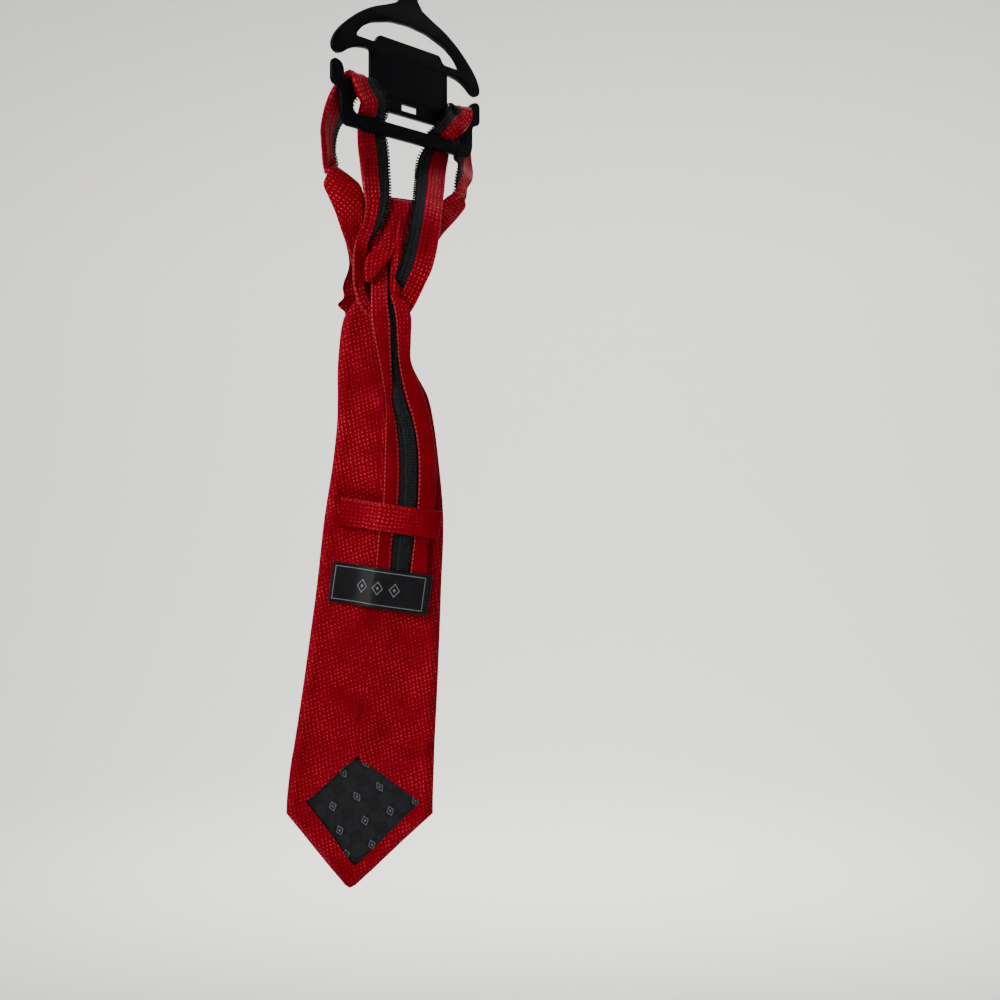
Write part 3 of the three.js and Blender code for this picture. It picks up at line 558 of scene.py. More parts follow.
def makeHanger():
    yaw = math.radians(hanger["yaw"])
    curve = bpy.data.curves.new("hangerOutline", "CURVE")
    curve.dimensions, curve.fill_mode = "2D", "BOTH"
    curve.extrude = (hanger["thick"] / 2 - hanger["round"]) * mm
    curve.bevel_depth, curve.bevel_resolution = hanger["round"] * mm, 3
    curve.offset = -hanger["round"] * mm

    def ring(radius, start, stop, count):
        turns = np.radians(np.linspace(start, stop, count))
        return [(radius * math.cos(a), radius * math.sin(a) - hanger["hookInside"]) for a in turns]

    def addOutline(points):
        line = curve.splines.new("POLY")
        line.points.add(len(points) - 1)
        for point, (x, z) in zip(line.points, points):
            point.co = (x * mm, z * mm, 0, 1)
        line.use_cyclic_u = True

    def rounded(points):
        # softens an outline: each corner becomes a short bow of five points
        out = []
        n = len(points)
        for i in range(n):
            a, b, c = (np.array(points[(i + k) % n], float) for k in (-1, 0, 1))
            back, on = np.linalg.norm(a - b), np.linalg.norm(c - b)
            reach = min(min(back, on) * 0.45, hanger["corner"])
            p, q = b + (a - b) / max(back, 1e-6) * reach, b + (c - b) / max(on, 1e-6) * reach
            for s in (0, 0.25, 0.5, 0.75, 1):
                out.append(tuple((1 - s) ** 2 * p + 2 * s * (1 - s) * b + s * s * q))
        return out

    outer = hanger["hookInside"] + hanger["hookBand"]
    stem = math.degrees(math.asin(hanger["stem"] / 2 / outer))
    # the hook's ring, open on one side, ends in a half circle
    hookEnd = hanger["hookEnd"]
    tip, middle = math.radians(hookEnd), hanger["hookInside"] + hanger["hookBand"] / 2
    tipX, tipZ = middle * math.cos(tip), middle * math.sin(tip) - hanger["hookInside"]
    tipRound = [(tipX + hanger["hookBand"] / 2 * math.cos(a), tipZ + hanger["hookBand"] / 2 * math.sin(a))
                for a in np.linspace(tip + math.pi, tip + 2 * math.pi, 9)[1:-1]]
    right = [(4.8, -21)] + rounded(hangerSide)[5:-5]
    left = [(-x, z) for x, z in right[::-1]]
    hookInner = ring(hanger["hookInside"], -90 - stem, hookEnd, 44)
    hookOuter = ring(outer, hookEnd, stem - 90, 44)
    corner = ring(outer, -90 - stem, -90 - stem, 1)
    addOutline((right + left + corner + hookInner + tipRound + hookOuter)[::-1])
    # the holes: the window under the arch, the bar's, and the small slot in the plate
    crown = [(0, 1), (0.34, 0.93), (0.7, 0.66), (0.88, 0.38), (1, 0)]
    crown = [(-x, r) for x, r in crown[:0:-1]] + crown
    addOutline(rounded([(x * 32, -46.8 + r * 12.8) for x, r in crown]
                       + [(20.6, -46.8), (18.7, -43), (-18.7, -43), (-20.6, -46.8)]))
    slot = [(31.6, -82.3), (33.2, -80.7), (33.2, -71.5), (23.4, -71.5), (23.4, -77.3)]
    addOutline(rounded(slot + [(-x, z) for x, z in slot[::-1]]))
    addOutline([(-5, -71.7), (5, -71.7), (5, -74.9), (-5, -74.9)])
    shape = bpy.data.objects.new("hangerShape", curve)
    scene.collection.objects.link(shape)
    bpy.context.view_layer.update()
    flat = bpy.data.meshes.new_from_object(shape.evaluated_get(bpy.context.evaluated_depsgraph_get()))
    bpy.data.objects.remove(shape)
    points = np.array([v.co for v in flat.vertices]) / mm
    faces = [tuple(p.vertices) for p in flat.polygons]
    turned = np.stack([points[:, 0] * math.cos(yaw) + points[:, 2] * math.sin(yaw),
                       points[:, 0] * math.sin(yaw) - points[:, 2] * math.cos(yaw), points[:, 1]], axis=1)
    piece = meshPiece("tieHanger", "hanger", turned, faces, None, blackPlastic)
    weld = bmesh.new()
    weld.from_mesh(piece.data)
    bmesh.ops.remove_doubles(weld, verts=weld.verts, dist=0.00002)
    bmesh.ops.recalc_face_normals(weld, faces=weld.faces)
    weld.to_mesh(piece.data)
    weld.free()
    piece.data.set_sharp_from_angle(angle=math.radians(40))


makeHanger()
print("hanger made")


# ---- neck loop: two bands of folded cloth, each with half of the zip ----
band = {"width": 9.5, "meanShare": 0.86, "thick": 2.1, "columns": 26, "steps": 8}
tape = {"width": 6.3, "thick": 0.7, "columns": 16, "under": 0.6, "endShare": 0.12}
coil = {"pitch": 1.5, "reach": 0.95, "height": 0.5, "wire": 0.68, "perTurn": 10, "sides": 5}
tapeEnds = {"left": (20, 16), "right": (12, 5)}  # mm over which each end of a tape narrows
# each row: x, y, z of the middle, turn about the vertical, share of the full width
bandRows = {
    "left": [
        (-36, -6.4, -103.2, 50, 0.8), (-36.6, -10, -98.1, 72, 0.9), (-36.2, -16, -87.9, 72, 0.95),
        (-31.6, -23.1, -77, 44, 0.9), (-28.6, -22.5, -71, 44, 0.82), (-25.9, -21.1, -66.2, 44, 0.8),
        (-23, -22.1, -64.6, 44, 0.82), (-20.6, -23.7, -66.2, 44, 0.82), (-20.2, -23.7, -68.6, 44, 0.82),
        (-18.8, -22.5, -72.5, 44, 0.86), (-16.8, -20.5, -76.5, 44, 0.94), (-17.7, -17.1, -79.9, 44, 0.96),
        (-19, -14, -83.3, 44, 0.98), (-18.7, -13.5, -89.5, 44, 1), (-18.1, -9, -99.6, 36, 1),
        (-17.1, -7.6, -111.3, 28, 0.9), (-16.4, -7, -120, 8, 0.68), (-18, -7, -129.2, 0, 0.62),
        (-21.2, -7.8, -137.9, 4, 0.66), (-23.1, -5.6, -147.6, 35, 0.66), (-22.9, -4.6, -159.2, 25, 0.52),
        (-19.2, -2.7, -167.4, 10, 0.55), (-10.8, -2.4, -171.5, 0, 0.85)],
    "right": [
        (23.7, 14.4, -109.8, 52, 0.78), (24.8, 17.2, -104.2, 64, 0.8), (26.2, 21.2, -99.6, 70, 0.86),
        (26.4, 31.6, -90.6, 60, 0.9), (24.2, 30.8, -77, 44, 0.9), (23.5, 27.8, -71, 44, 0.82),
        (22.8, 25.9, -66.2, 44, 0.78), (24.5, 23.6, -64.6, 44, 0.78), (26.2, 21.5, -66.2, 44, 0.78),
        (26.5, 21.2, -68.6, 44, 0.78), (24.7, 19.6, -72.5, 44, 0.84), (21.3, 16.2, -76.5, 44, 0.94),
        (17.7, 17.1, -79.9, 44, 0.96), (14.7, 18.5, -83.3, 44, 0.98), (14.1, 18.2, -89.5, 44, 1),
        (12.7, 16.8, -95.6, 34, 1), (12.2, 8, -107.7, 28, 0.95), (11.6, -1.2, -120.6, 20, 0.9),
        (10.7, -4.6, -129.9, 16, 0.95), (9.4, -6.6, -139.4, 12, 0.95), (7.2, -7.6, -148.6, 10, 0.95),
        (4.4, -7.3, -155.1, 8, 0.9), (1.4, -4.6, -160.7, 5, 0.9), (-2.1, -2.8, -166.5, 0, 0.9),
        (-5.2, -2.4, -170, 0, 0.85)],
}


def rideAxes(rows, steps):
    table = np.array(rows, float)
    path = smoothPath(table[:, :3], steps)
    along = unitRows(np.gradient(path, axis=0))
    at = np.arange(len(path)) / steps
    turn = np.radians(np.interp(at, np.arange(len(table)), table[:, 3]))
    squeeze = np.interp(at, np.arange(len(table)), table[:, 4])
    across = np.stack([np.cos(turn), np.sin(turn), 0 * turn], axis=1)
    across = unitRows(across - along * np.sum(across * along, axis=1, keepdims=True))
    return path, along, across, squeeze


def makeNeckLoop(label, side, tapeLeftOff):
    path, along, across, squeeze = rideAxes(bandRows[label], band["steps"])
    halfWidth = (band["width"] / 2 * squeeze)[:, None] * across
    seed = 1.0 if side > 0 else 2.4

    def pucker(us, xs, down, face, x, z):
        # hem by the zip, a soft fold along the outer edge and slow unevenness
        near = -side * us
        groove = -0.3 * np.exp(-((near - 0.6) / 0.1) ** 2)
        beads = 0.45 + 0.12 * np.sin(2 * math.pi * down / clothLook["hemPitch"])
        rope = beads * np.exp(-((near + 0.78) / 0.15) ** 2)
        crease = -0.22 * np.exp(-((near + 0.05 + 0.25 * math.sin(down / 17 + seed)) / 0.2) ** 2)
        return face * (groove + rope + crease) + 0.3 * waver(xs + 5, np.full_like(xs, down), 5.5, seed)

    def dotShow(us, down, x, z):
        return 0.75 + 0.35 * math.sin(down / 9 + seed)

    def ropeHem(us, down):
        # the stitches show on the inner run alone
        inner = min(max((down - 85) / 25, 0), 1) * (side < 0)
        return 0.55 * inner * np.clip((side * us - 0.76) / 0.14, 0, 1)

    caption = label.capitalize()
    piece = clothBody("neckBand" + caption, "neck_band_" + label, path - halfWidth, path + halfWidth,
                      band, redDobby, lift=pucker, dotsAndShade=dotShow, hem=ropeHem)
    sign = -side
    keep = len(path) - tapeLeftOff * band["steps"]
    inner = band["width"] / 2 * squeeze - tape["under"]
    edgeA = path + across * (sign * inner)[:, None]
    down = runAlong(path)
    first, last = tapeEnds[label]
    fromEnd = np.minimum(down / first, np.maximum(down[keep - 1] - down, 0) / last)
    narrow = np.minimum(1, tape["endShare"] + fromEnd)
    edgeB = path + across * (sign * (inner + tape["width"] * squeeze * narrow))[:, None]
    left, right = (edgeA, edgeB) if sign > 0 else (edgeB, edgeA)
    tapePiece = clothBody("zipTape" + caption, "zip_tape_" + label, left[:keep], right[:keep], tape,
                          blackTape)
    normal = np.cross(along, across)
    teeth = coilPiece("zipCoil" + caption, edgeB[:keep], across[:keep] * sign, normal[:keep], coil,
                      blackCoil)
    declareCloth(band["width"] * band["meanShare"], runAlong(path)[-1],
                 withPieces=[tapePiece, teeth])


makeNeckLoop("left", -1, 4)
makeNeckLoop("right", 1, 2)
print("neck loop made")


# ---- knot: rows are x, y, z of the left edge, then of the right edge, then a bow ----
def stripPiece(name, node, rows, style, material, lift=None, dotsAndShade=None, hem=None):
    table = np.array(rows, float)
    left = smoothPath(table[:, :3], style["steps"])
    right = smoothPath(table[:, 3:6], style["steps"])
    bow = smoothPath(table[:, 6:7], style["steps"])[:, 0] if table.shape[1] > 6 else None
    piece = clothBody(name, node, left, right, style, material, bow, lift, dotsAndShade, hem)
    if style.get("declare", True):
        width = float(np.mean(np.linalg.norm(right - left, axis=1)))
        declareCloth(width, runAlong((left + right) / 2)[-1],
                     withPieces=style.get("goesWith", []))
    return piece


knotStyle = {"thick": 2.6, "columns": 40, "steps": 8, "edge": 1.6, "spin": 35}
leftWingRows = [
    (-37.5, -8, -105.4, -32.9, -8, -102.1), (-39.3, -7.5, -110.4, -26.1, -6, -106.7),
    (-37.3, -6.5, -115.7, -22.1, -4.2, -110.5), (-34.4, -5, -122.3, -20.8, -2.5, -118.9),
    (-31.6, -3.5, -130.9, -20.8, -1.4, -129.4), (-29.6, -2.5, -136.8, -21.4, -1, -137.3),
    (-26.8, -1.5, -147.4, -21.4, -0.6, -148.1), (-24.8, -0.8, -156.8, -20.4, -0.6, -157.5)]
leftWingFolds = [
    (-37, -103, -21, -114, 0.9, 1.8), (-37.3, -104, -21, -124, 1.0, 3.6),
    (-38, -112, -27, -136, -0.6, 2.2), (-24, -124, -22, -140, -0.6, 1.6),
    (-31, -128, -25, -148, 0.5, 1.8)]
rightWingRows = [
    (20.1, 11, -109.8, 25.3, 14.5, -110.5), (16.6, 9.5, -112.7, 26.5, 13.5, -115.4),
    (13.4, 7, -117.5, 24.4, 11, -119.6), (10, 4.5, -122.8, 22, 8, -123.4),
    (6, 2, -129.1, 17.4, 5, -129.2), (3.4, 0.5, -134.9, 12.9, 2.5, -134.4),
    (1, -0.6, -145.3, 9, 0.5, -145.1), (-0.4, -0.6, -156.2, 4.3, 0, -156.1)]
rightWingFolds = [(27, -110.5, 15, -117, 0.5, 1.2), (26, -116, 14, -128, -0.4, 1.6)]
backPassRows = [
    (-8.6, -2.6, -116.8, 1.8, -1.2, -118.2), (-11.4, -4.2, -129.1, -1.2, -3.4, -129.4),
    (-15.1, -5.4, -138.5, -4.4, -5, -138.9), (-19.6, -6, -144.3, -8.2, -6, -145.2),
    (-20.8, -6, -149.4, -13.2, -6.2, -151), (-20.4, -5.6, -154.2, -16.8, -5.8, -155.2)]
backPassFolds = [
    (-6, -122, -12, -138, 0.7, 2.6), (-9, -128, -17, -146, -0.35, 1.0), (-14, -141, -20, -150, 0.5, 1.6),
    (-3, -124, -8, -142, -0.4, 1.0)]
backTuckRows = [
    (-5.6, -3.4, -124.5, -1.6, -2.8, -124.5), (-6.8, -4.9, -137, -2.2, -4.9, -137),
    (-7.9, -5.6, -148, -2.6, -5.6, -148), (-8.5, -6.2, -157, -3, -6.2, -157.4),
    (-8.2, -6, -160.6, -3.4, -6, -161), (-7.9, -5.2, -165, -3.6, -5.2, -165.2)]
backTuckFolds = [(-3.6, -124, -5.6, -161, 0.5, 0.8), (-5, -124, -7.2, -160, -0.35, 0.5)]
frontBandRows = [
    (-34, -3.5, -110.2, 22.8, 16.5, -114, -7), (-33.4, -1.2, -123.3, 18.6, 11, -125.2, -7),
    (-29.8, 0.5, -137, 12.1, 5, -136.6, -6.5), (-28.6, 1.8, -146.7, 8.4, 3.4, -148.3, -6),
    (-31.7, 2.7, -156.4, 5.4, 2.7, -158, -5.8), (-31.3, 2.7, -161.6, 3.8, 2.7, -162, -5.8),
    (-34, 2.7, -165, 2.2, 2.7, -165.4, -5.8), (-30.6, 2.7, -168.6, -1.5, 2.7, -168.8, -5.6)]
frontBandFolds = [(-30, -118, 16, -128, 0.5, 3), (-30, -160, 4, -150, -0.5, 2)]


def foldLift(lines, size, amount, seed, deep=1.0):
    # folds laid over a slow unevenness of that size and amount
    def lift(us, xs, down, face, x, z):
        return face * ridges(x, z, lines) * deep + amount * waver(x, z, size, seed)
    return lift


def makeKnot():
    stripPiece("knotLeftWing", "knot_left_wing", leftWingRows, knotStyle, redDobby,
               foldLift(leftWingFolds, 7, 0.3, 0.4))
    stripPiece("knotRightWing", "knot_right_wing", rightWingRows, dict(knotStyle, spin=-30), redDobby,
               foldLift(rightWingFolds, 6, 0.3, 1.4))
    tuckStyle = dict(knotStyle, thick=1.6, spin=-4, columns=24, edge=0.8, declare=False)
    tuck = stripPiece("knotBackTuck", "knot_back_pass", backTuckRows, tuckStyle, redDobby,
                      foldLift(backTuckFolds, 5, 0.12, 0.8))
    backStyle = dict(knotStyle, thick=2.1, spin=20, goesWith=[tuck])
    stripPiece("knotBackPass", "knot_back_pass", backPassRows, backStyle, redDobby,
               foldLift(backPassFolds, 5, 0.2, 2.2))
    stripPiece("knotFrontBand", "knot_front_band", frontBandRows, dict(knotStyle, columns=60, spin=12),
               redDobby, foldLift(frontBandFolds, 9, 0.4, 3.1, -1.0))


makeKnot()
print("knot made")


# ---- blade: one cloth folded to the back, right flap over left, with a lining at the tip ----
bladeStyle = {"cloth": 1.0, "hollow": 1.6, "front": 5.0, "lap": 0.5, "roll": 4.0, "edgeRoll": 0.9,
              "rowStep": 1.6, "curveSteps": 40, "corners": -400.8, "weaveLean": 0.14, "weaveSlant": 0.36}
# each row: z, left and right edge, left and right flap's edge, 1 where the right flap lies over
bladeRows = [
    (-129.3, -17.4, -6.1, -9.9, -14.1, 1), (-149.1, -21.7, -4.2, -9.6, -13.8, 1),
    (-163.3, -26.5, -1.3, -9.4, -13.6, 1), (-171.2, -31.2, 1, -9.2, -13.5, 1),
    (-191.6, -34, 0.8, -9, -13.2, 1), (-208.6, -34.2, 8.8, -9.2, -13.5, 1),
    (-220, -34.4, 11.4, -9.5, -13.7, 1), (-238.9, -36.3, 13.9, -9.9, -14.1, 1),
    (-267.2, -40.6, 16.2, -10.7, -15, 1), (-298.4, -44.1, 15.2, -12, -16.2, 1),
    (-323.9, -47.5, 14.3, -14.6, -18.8, 1), (-352.3, -51.5, 13.1, -17.9, -22.1, 1),
    (-376.9, -55.3, 11.9, -23.1, -25.2, 0.9), (-381.6, -56.2, 11.8, -26.6, -23.1, 0),
    (-400.8, -58.4, 11.2, -49.1, 5.5, 0), (-406.8, -58.6, 11.2, -44.5, -0.6, 0),
    (-419.1, -48.6, -2.3, -35.1, -12.7, 0), (-428.7, -40.9, -12.4, -28.4, -22.4, 0),
    (-431.7, -38.4, -15.5, -25.1, -25.9, 0.1), (-440.6, -30.8, -25.2, -27.6, -28.4, 0.1),
    (-441.6, -29, -27.2, -28, -28.2, 0.1)]
bladeFolds = [
    (-29, -180, -14, -212, 0.9, 3.6), (-19, -204, -13, -232, -0.6, 3),
    (-31, -256, -13, -258.5, -1.9, 3.4), (-44, -300, -40, -380, -0.35, 5),
    (-30, -320, -34, -370, -0.3, 4), (0, -320, -2, -360, -0.4, 5), (-42, -343, -33, -350, -0.6, 3.5),
    (-31, -334, -27, -352, -0.5, 3), (-46, -330, -24, -318, 0.5, 3), (-40, -392, -20, -366, 0.4, 4)]


def segment(a, b, count):
    # points from a up to, but not with, b
    t = np.linspace(0, 1, count, endpoint=False)[:, None]
    return np.array(a) * (1 - t) + np.array(b) * t


def bowSegment(centre, radii, start, stop, count):
    angle = np.radians(np.linspace(start, stop, count, endpoint=False))
    return np.stack([centre[0] + radii[0] * np.cos(angle), centre[1] + radii[1] * np.sin(angle)], axis=1)


def makeBlade():
    s = bladeStyle
    cloth, back = s["cloth"], 2 * s["cloth"] + s["hollow"]
    inner = cloth + s["hollow"]
    table = np.array(bladeRows, float)
    at = []
    for i, (upper, lower) in enumerate(zip(table[:-1, 0], table[1:, 0])):
        count = max(2, int(abs(lower - upper) / s["rowStep"]))
        at += [i + k / count for k in range(count)]
    at = np.array(at + [len(table) - 1])
    values = rowsAt(table, np.arange(len(table)), at)
    # the outline is a soft curve down to the corners of the point, and straight from there
    curved = smoothPath(table[:, :3], s["curveSteps"])
    soft = rowsAt(curved, np.arange(len(curved)) / s["curveSteps"], at)
    tip = next(i for i, row in enumerate(bladeRows) if row[0] == s["corners"])
    values[:, :3] = np.where((at < tip)[:, None], soft, values[:, :3])
    points, uvs, trim = [], [], []
    for z, left, right, leftFlap, rightFlap, lap in values:
        width = right - left
        roll = min(s["roll"], width / 3.2)
        layer = min(cloth, width / 3.6)
        rollIn = max(roll - layer * 0.4, layer * 1.3)
        rise = lap * (cloth + s["lap"])
        lapEnd = rightFlap + (leftFlap - rightFlap) * lap
        room = min(11, right - rollIn - lapEnd)
        stepStart, stepEnd = lapEnd + room * 0.3, lapEnd + room * 0.85
        lip = rightFlap + 0.25 * min(1, width / 8)
        middle = back / 2
        inTall = max(middle - layer, 0.2)
        ring = np.vstack([
            segment((leftFlap, back), (left + roll, back), 16),
            bowSegment((left + roll, middle), (roll, middle), 90, 270, 16),
            segment((left + roll, 0), (right - roll, 0), 26),
            bowSegment((right - roll, middle), (roll, middle), 270, 450, 16),
            segment((right - roll, back), (stepEnd, back), 14),
            segment((stepEnd, back), (stepStart, back + rise), 4),
            segment((stepStart, back + rise), (lip, back + rise), 6),
            segment((lip, back + rise), (rightFlap, back + rise - 0.3), 2),
            segment((rightFlap, back + rise - 0.3), (rightFlap, inner + rise), 2),
            segment((rightFlap, inner + rise), (stepStart, inner + rise), 5),
            segment((stepStart, inner + rise), (stepEnd, inner), 3),
            segment((stepEnd, inner), (right - rollIn, inner), 6),
            bowSegment((right - rollIn, middle), (rollIn - layer, inTall), 90, -90, 7),
            segment((right - rollIn, cloth), (left + rollIn, cloth), 12),
            bowSegment((left + rollIn, middle), (rollIn - layer, inTall), 270, 90, 7),
            segment((left + rollIn, inner), (leftFlap, inner), 8),
        ])
        x, y = ring[:, 0], ring[:, 1].copy()
        zz = np.full_like(x, z)
        onBack = np.clip((y - inner * 0.75) / (inner * 0.25), 0, 1)
        edgeIn = np.clip(np.minimum(x - left, right - x) / 6, 0, 1)
        rolled = np.exp(-((x - left - 3.6) / 1.9) ** 2) + np.exp(-((right - x - 3.6) / 1.9) ** 2)
        seam = np.exp(-((x - rightFlap - 1.6) / 1.5) ** 2) * lap
        y += onBack * edgeIn * (ridges(x, zz, bladeFolds) + 0.32 * waver(x, zz, 11, 0.3) - 0.3
                                + s["edgeRoll"] * rolled * min(1, width / 30) + 0.5 * seam)
        onFront = np.clip((cloth * 1.2 - y) / cloth, 0, 1)
        y -= onFront * edgeIn * (0.5 * edgeIn + 0.25 * waver(x, zz, 12, 1.7))
        points.append(np.stack([x, s["front"] - y, zz], axis=1))
        onlyBack = ring[:, 1] > back / 2
        u = np.where(onlyBack, x, x + 0.9) + s["weaveLean"] * z
        uvs.append(np.stack([u, zz - s["weaveSlant"] * x], axis=1))
        # painted shade: right of the tail, above the keeper, the dots fade out and the ground is painted
        # darker
        shade = np.clip((x + 2) / 7, 0, 1) * np.clip((z + 275) / 15, 0, 1)
        # lower down the blade fewer dots show and the ground goes darker, more so left of the upper
        # flap's edge
        low = np.clip((-z - 300) / 25, 0, 1) * np.where(x < rightFlap, 0.18, 0.08)
        # and a painted shadow line on the thin standing side of the upper flap, with no dots and a darker
        # ground
        stand = (np.abs(x - rightFlap) < 0.3) * lap
        backDotsAndShade = np.maximum(0.72 - 0.6 * shade - low - 0.7 * stand, 0.05)
        trim.append(np.stack([np.where(onlyBack, backDotsAndShade, plainDots), 0 * x, zz], axis=1))
    rows, count = len(points), len(ring)
    points, uvs, trim = np.vstack(points), np.vstack(uvs), np.vstack(trim)
    faces = ringFaces(rows, count)
    faces.append(tuple(range(count))[::-1])
    faces.append(tuple(range((rows - 1) * count, rows * count)))
    piece = meshPiece("bladeCloth", "blade", points, faces, uvs, redDobby,
                      sharp=50, trim=trim)
    # unfolded, the cloth is the front and both flaps
    wide = (values[:, 2] - values[:, 1]) + (values[:, 3] - values[:, 1]) + (values[:, 2] - values[:, 4])
    declareCut(wide, values[:, 0])


liningStyle = {"thick": 1.0, "columns": 40, "edge": 0.5, "tuck": 1.6, "steps": 8, "off": 0.8}


def makeTipping():
    # it shows between the flaps and is tucked a little under them
    rows = [r for r in bladeRows if r[5] == 0] + [(-431.7, 0, 0, -26, -25, 0)]
    tuck, steps = liningStyle["tuck"], liningStyle["steps"]
    left = np.array([(r[3] - tuck, 0, r[0]) for r in rows], float)
    right = np.array([(r[4] + tuck, 0, r[0]) for r in rows], float)
    at = np.linspace(0, len(left) - 1, (len(left) - 1) * steps + 1)
    face = bladeStyle["front"] - bladeStyle["cloth"] - liningStyle["off"]
    left, right = (rowsAt(p, np.arange(len(p)), at) for p in (left, right))
    left[:, 1] = right[:, 1] = face
    piece = clothBody("tippingLining", "tipping", left, right, liningStyle, liningCheck,
                      lift=lambda us, xs, down, side, x, z: 0.12 * waver(x, z, 5, 0.9))
    declareCut(right[:, 0] - left[:, 0], left[:, 2])


makeBlade()
makeTipping()
print("blade made")


# ---- tail with its closed zip, keeper loop, label ----
tailStyle = {"thick": 2.0, "columns": 26, "steps": 6, "edge": 0.9, "held": "hung", "on": ["bladeCloth"]}
tailLeftRows = [
    (-16.6, -2.2, -139, -9.6, -2.2, -139), (-17.1, -3.2, -148.8, -10, -3.2, -148.8),
    (-17.4, -3.6, -155.5, -9.7, -3.6, -155.5), (-17.1, -7.2, -166.8, -9.2, -7.2, -166.8),
    (-16.9, -7, -173.8, -8.3, -7, -173.8), (-15.3, -6.2, -183.4, -8.1, -6.2, -183.4),
    (-12.7, -4.2, -197.3, -7.8, -4.2, -197.3), (-10.8, -2.2, -210.7, -8, -2.2, -211.6),
    (-10.8, -1.3, -222.4, -6, -1.3, -221.5), (-11.2, -1.2, -234.3, -4.6, -1.2, -234.3),
    (-12.1, -1.2, -259.1, -5, -1.2, -259.1), (-14.2, -1.2, -274.3, -7.6, -1.2, -275.8),
    (-15.9, -1.2, -298, -9, -1.2, -298.8)]
tailRightRows = [
    (-7.6, -7.4, -163, -4.1, -7.4, -163), (-6.7, -7.4, -166.3, 0.1, -7.4, -166.3),
    (-5.5, -7.2, -172.8, 1.5, -7.2, -172.8), (-4.8, -6.2, -182.9, 1.5, -6.2, -182.9),
    (-4.4, -5.4, -191.3, 1.4, -5.4, -192.3), (-3.1, -3.9, -200.5, 4.1, -3.9, -200.5),
    (-1, -2.4, -209.8, 7.3, -2.4, -209.3), (2.3, -1.4, -221.1, 10.1, -1.4, -220),
    (4.5, -1.2, -235.6, 12.5, -1.2, -235.6), (4.2, -1.2, -261.6, 12.5, -1.2, -260.2),
    (2.6, -1.2, -276.7, 9.6, -1.2, -276.7), (0, -1.2, -298, 8.7, -1.2, -298.8)]
tailZipRows = [
    (-10.6, -2.6, -159.4, -7.6, -2.6, -159.4), (-11.3, -5, -165.6, -5.6, -5, -165.6),
    (-10.4, -4.6, -180.4, -5.6, -4.6, -180.4), (-9, -3, -193, -4.5, -3, -193),
    (-7.3, -2.2, -201.4, -4, -2.2, -200.3), (-7.3, -1.7, -211.6, -2, -1.7, -210.3),
    (-5.4, -1.2, -221.5, 1.7, -1.2, -220.6), (-4, -1.2, -234.3, 3.9, -1.2, -235.6),
    (-4.3, -1.2, -259.1, 3.6, -1.2, -261.6), (-6.9, -1.2, -275.8, 2, -1.2, -276.3),
    (-8.3, -1.2, -298, -0.6, -1.2, -298.8)]


def makeTail():
    def folded(hems, seed):
        # a soft channel inside each sewn edge
        def lift(us, xs, down, face, x, z):
            channel = sum(-0.35 * np.exp(-((us - 0.62 * side) / 0.12) ** 2) for side in hems)
            return face * (channel - 0.15) + 0.18 * waver(x, z, 6, seed)
        return lift

    def sewn(hems):
        return lambda us, down: sum(np.clip((side * us - 0.74) / 0.14, 0, 1) for side in hems)

    def closedCoil(us, xs, down, face, x, z):
        # the closed coil lies under the tape as one low ridge, between two sewn channels
        ridge = 0.4 * np.exp(-(xs / 1.0) ** 2) * (1 + 0.15 * math.sin(2 * math.pi * down / coil["pitch"]))
        return face * (ridge - 0.2 * np.exp(-((np.abs(xs) - 1.9) / 0.35) ** 2))

    zipStyle = {"thick": 1.0, "columns": 24, "steps": 6, "edge": 0.4, "declare": False}
    zipTape = stripPiece("tailZipTape", "tail_zip", tailZipRows, zipStyle, blackTape,
                         closedCoil)
    # painted shade: down each tail band fewer dots show and the ground is painted darker, the right band
    # most
    stripPiece("tailLeftBand", "tail_left_band", tailLeftRows, dict(tailStyle, goesWith=[zipTape]),
               redDobby, folded((-1, 1), 0.2), hem=sewn((-1, 1)),
               dotsAndShade=lambda us, down, x, z: np.clip(1.15 - down / 45, 0.12, 0.9))
    stripPiece("tailRightBand", "tail_right_band", tailRightRows, tailStyle,
               redDobby, folded((-1,), 1.2), hem=sewn((-1,)),
               dotsAndShade=lambda us, down, x, z: np.clip(1.0 - down / 30, 0.06, 0.8))


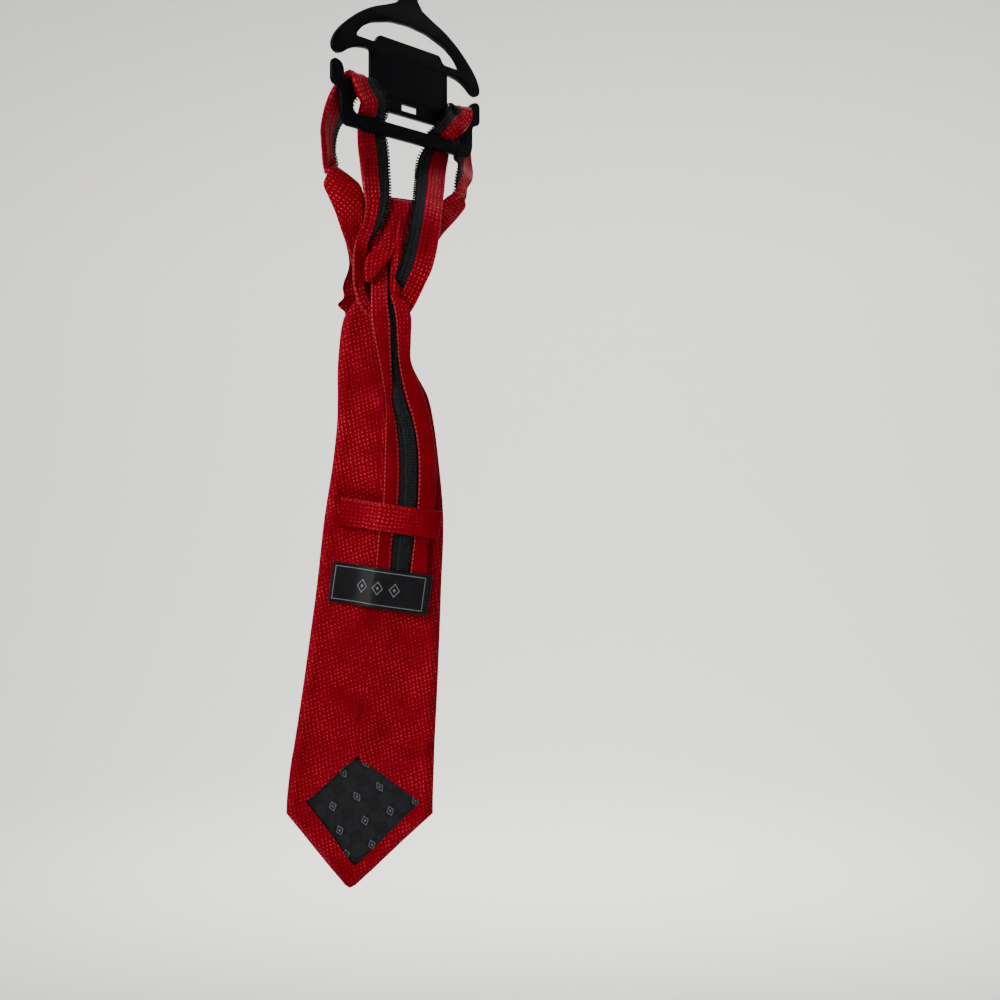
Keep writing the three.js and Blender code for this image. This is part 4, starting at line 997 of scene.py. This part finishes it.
# rows: place along the width, and how far the cloth has risen from the blade onto the tail
crossStyle = {"width": 47, "tilt": 8, "columns": 30, "steps": 8, "on": ["tailLeftBand"],
              "blade": 1.4, "tail": -2.2, "gap": 0.3}
keeperStyle = dict(crossStyle, height=13.4, thick=1.5, edge=0.8, middle=(-9, -266.5), rows=[
    (-0.5, 0), (-0.28, 0.1), (-0.16, 0.55), (-0.09, 1), (0.1, 1), (0.42, 1), (0.5, 0.7)])
labelStyle = dict(crossStyle, height=19, thick=0.8, edge=0.4, middle=(-13.5, -299.5), held="laid", rows=[
    (-0.5, 0), (-0.25, 0.1), (-0.14, 0.55), (-0.06, 1), (0.2, 1), (0.42, 1), (0.5, 0.75)])


def crossPiece(name, node, style, material, lift=None, dotsAndShade=None, hem=None):
    # a strip across the blade, tilted a little, as rows from its upper to its lower edge
    slope, half = math.radians(style["tilt"]), style["height"] / 2
    low, high = (style[under] - style["gap"] - style["thick"] / 2 for under in ("blade", "tail"))
    table = []
    for share, rise in style["rows"]:
        along = share * style["width"]
        x = style["middle"][0] + along * math.cos(slope)
        z = style["middle"][1] - along * math.sin(slope)
        y = low + (high - low) * rise
        sx, sz = -math.sin(slope) * half, -math.cos(slope) * half
        table.append((x - sx, y, z - sz, x + sx, y, z + sz))
    stripPiece(name, node, table, style, material, lift, dotsAndShade, hem)


def makeKeeperAndLabel():
    def sewnEdges(us, xs, down, face, x, z):
        return face * (-0.2 * np.exp(-((np.abs(us) - 0.8) / 0.07) ** 2)) + 0.2 * waver(x, z, 6, 0.6)

    def middleDotsAndShade(us, down, x, z):
        # painted shade: towards both ends of the keeper fewer dots show and the ground is painted darker,
        # most at the right end
        return np.clip(min(0.3 + down / 25, 1.9 - down / 24), 0.1, 0.9)

    def upperHem(us, down):
        return 0.4 * np.clip((-us - 0.8) / 0.1, 0, 1) * min(1, max(0, (34 - down) / 12))

    crossPiece("keeperLoop", "keeper_loop", keeperStyle, redDobby,
               sewnEdges, middleDotsAndShade, upperHem)
    crossPiece("wovenLabel", "label", labelStyle, blackSatin)


makeTail()
makeKeeperAndLabel()
print("tail, keeper and label made")

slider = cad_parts["zipper_slider"]
slider.data.materials.clear()
slider.data.materials.append(blackPlastic)
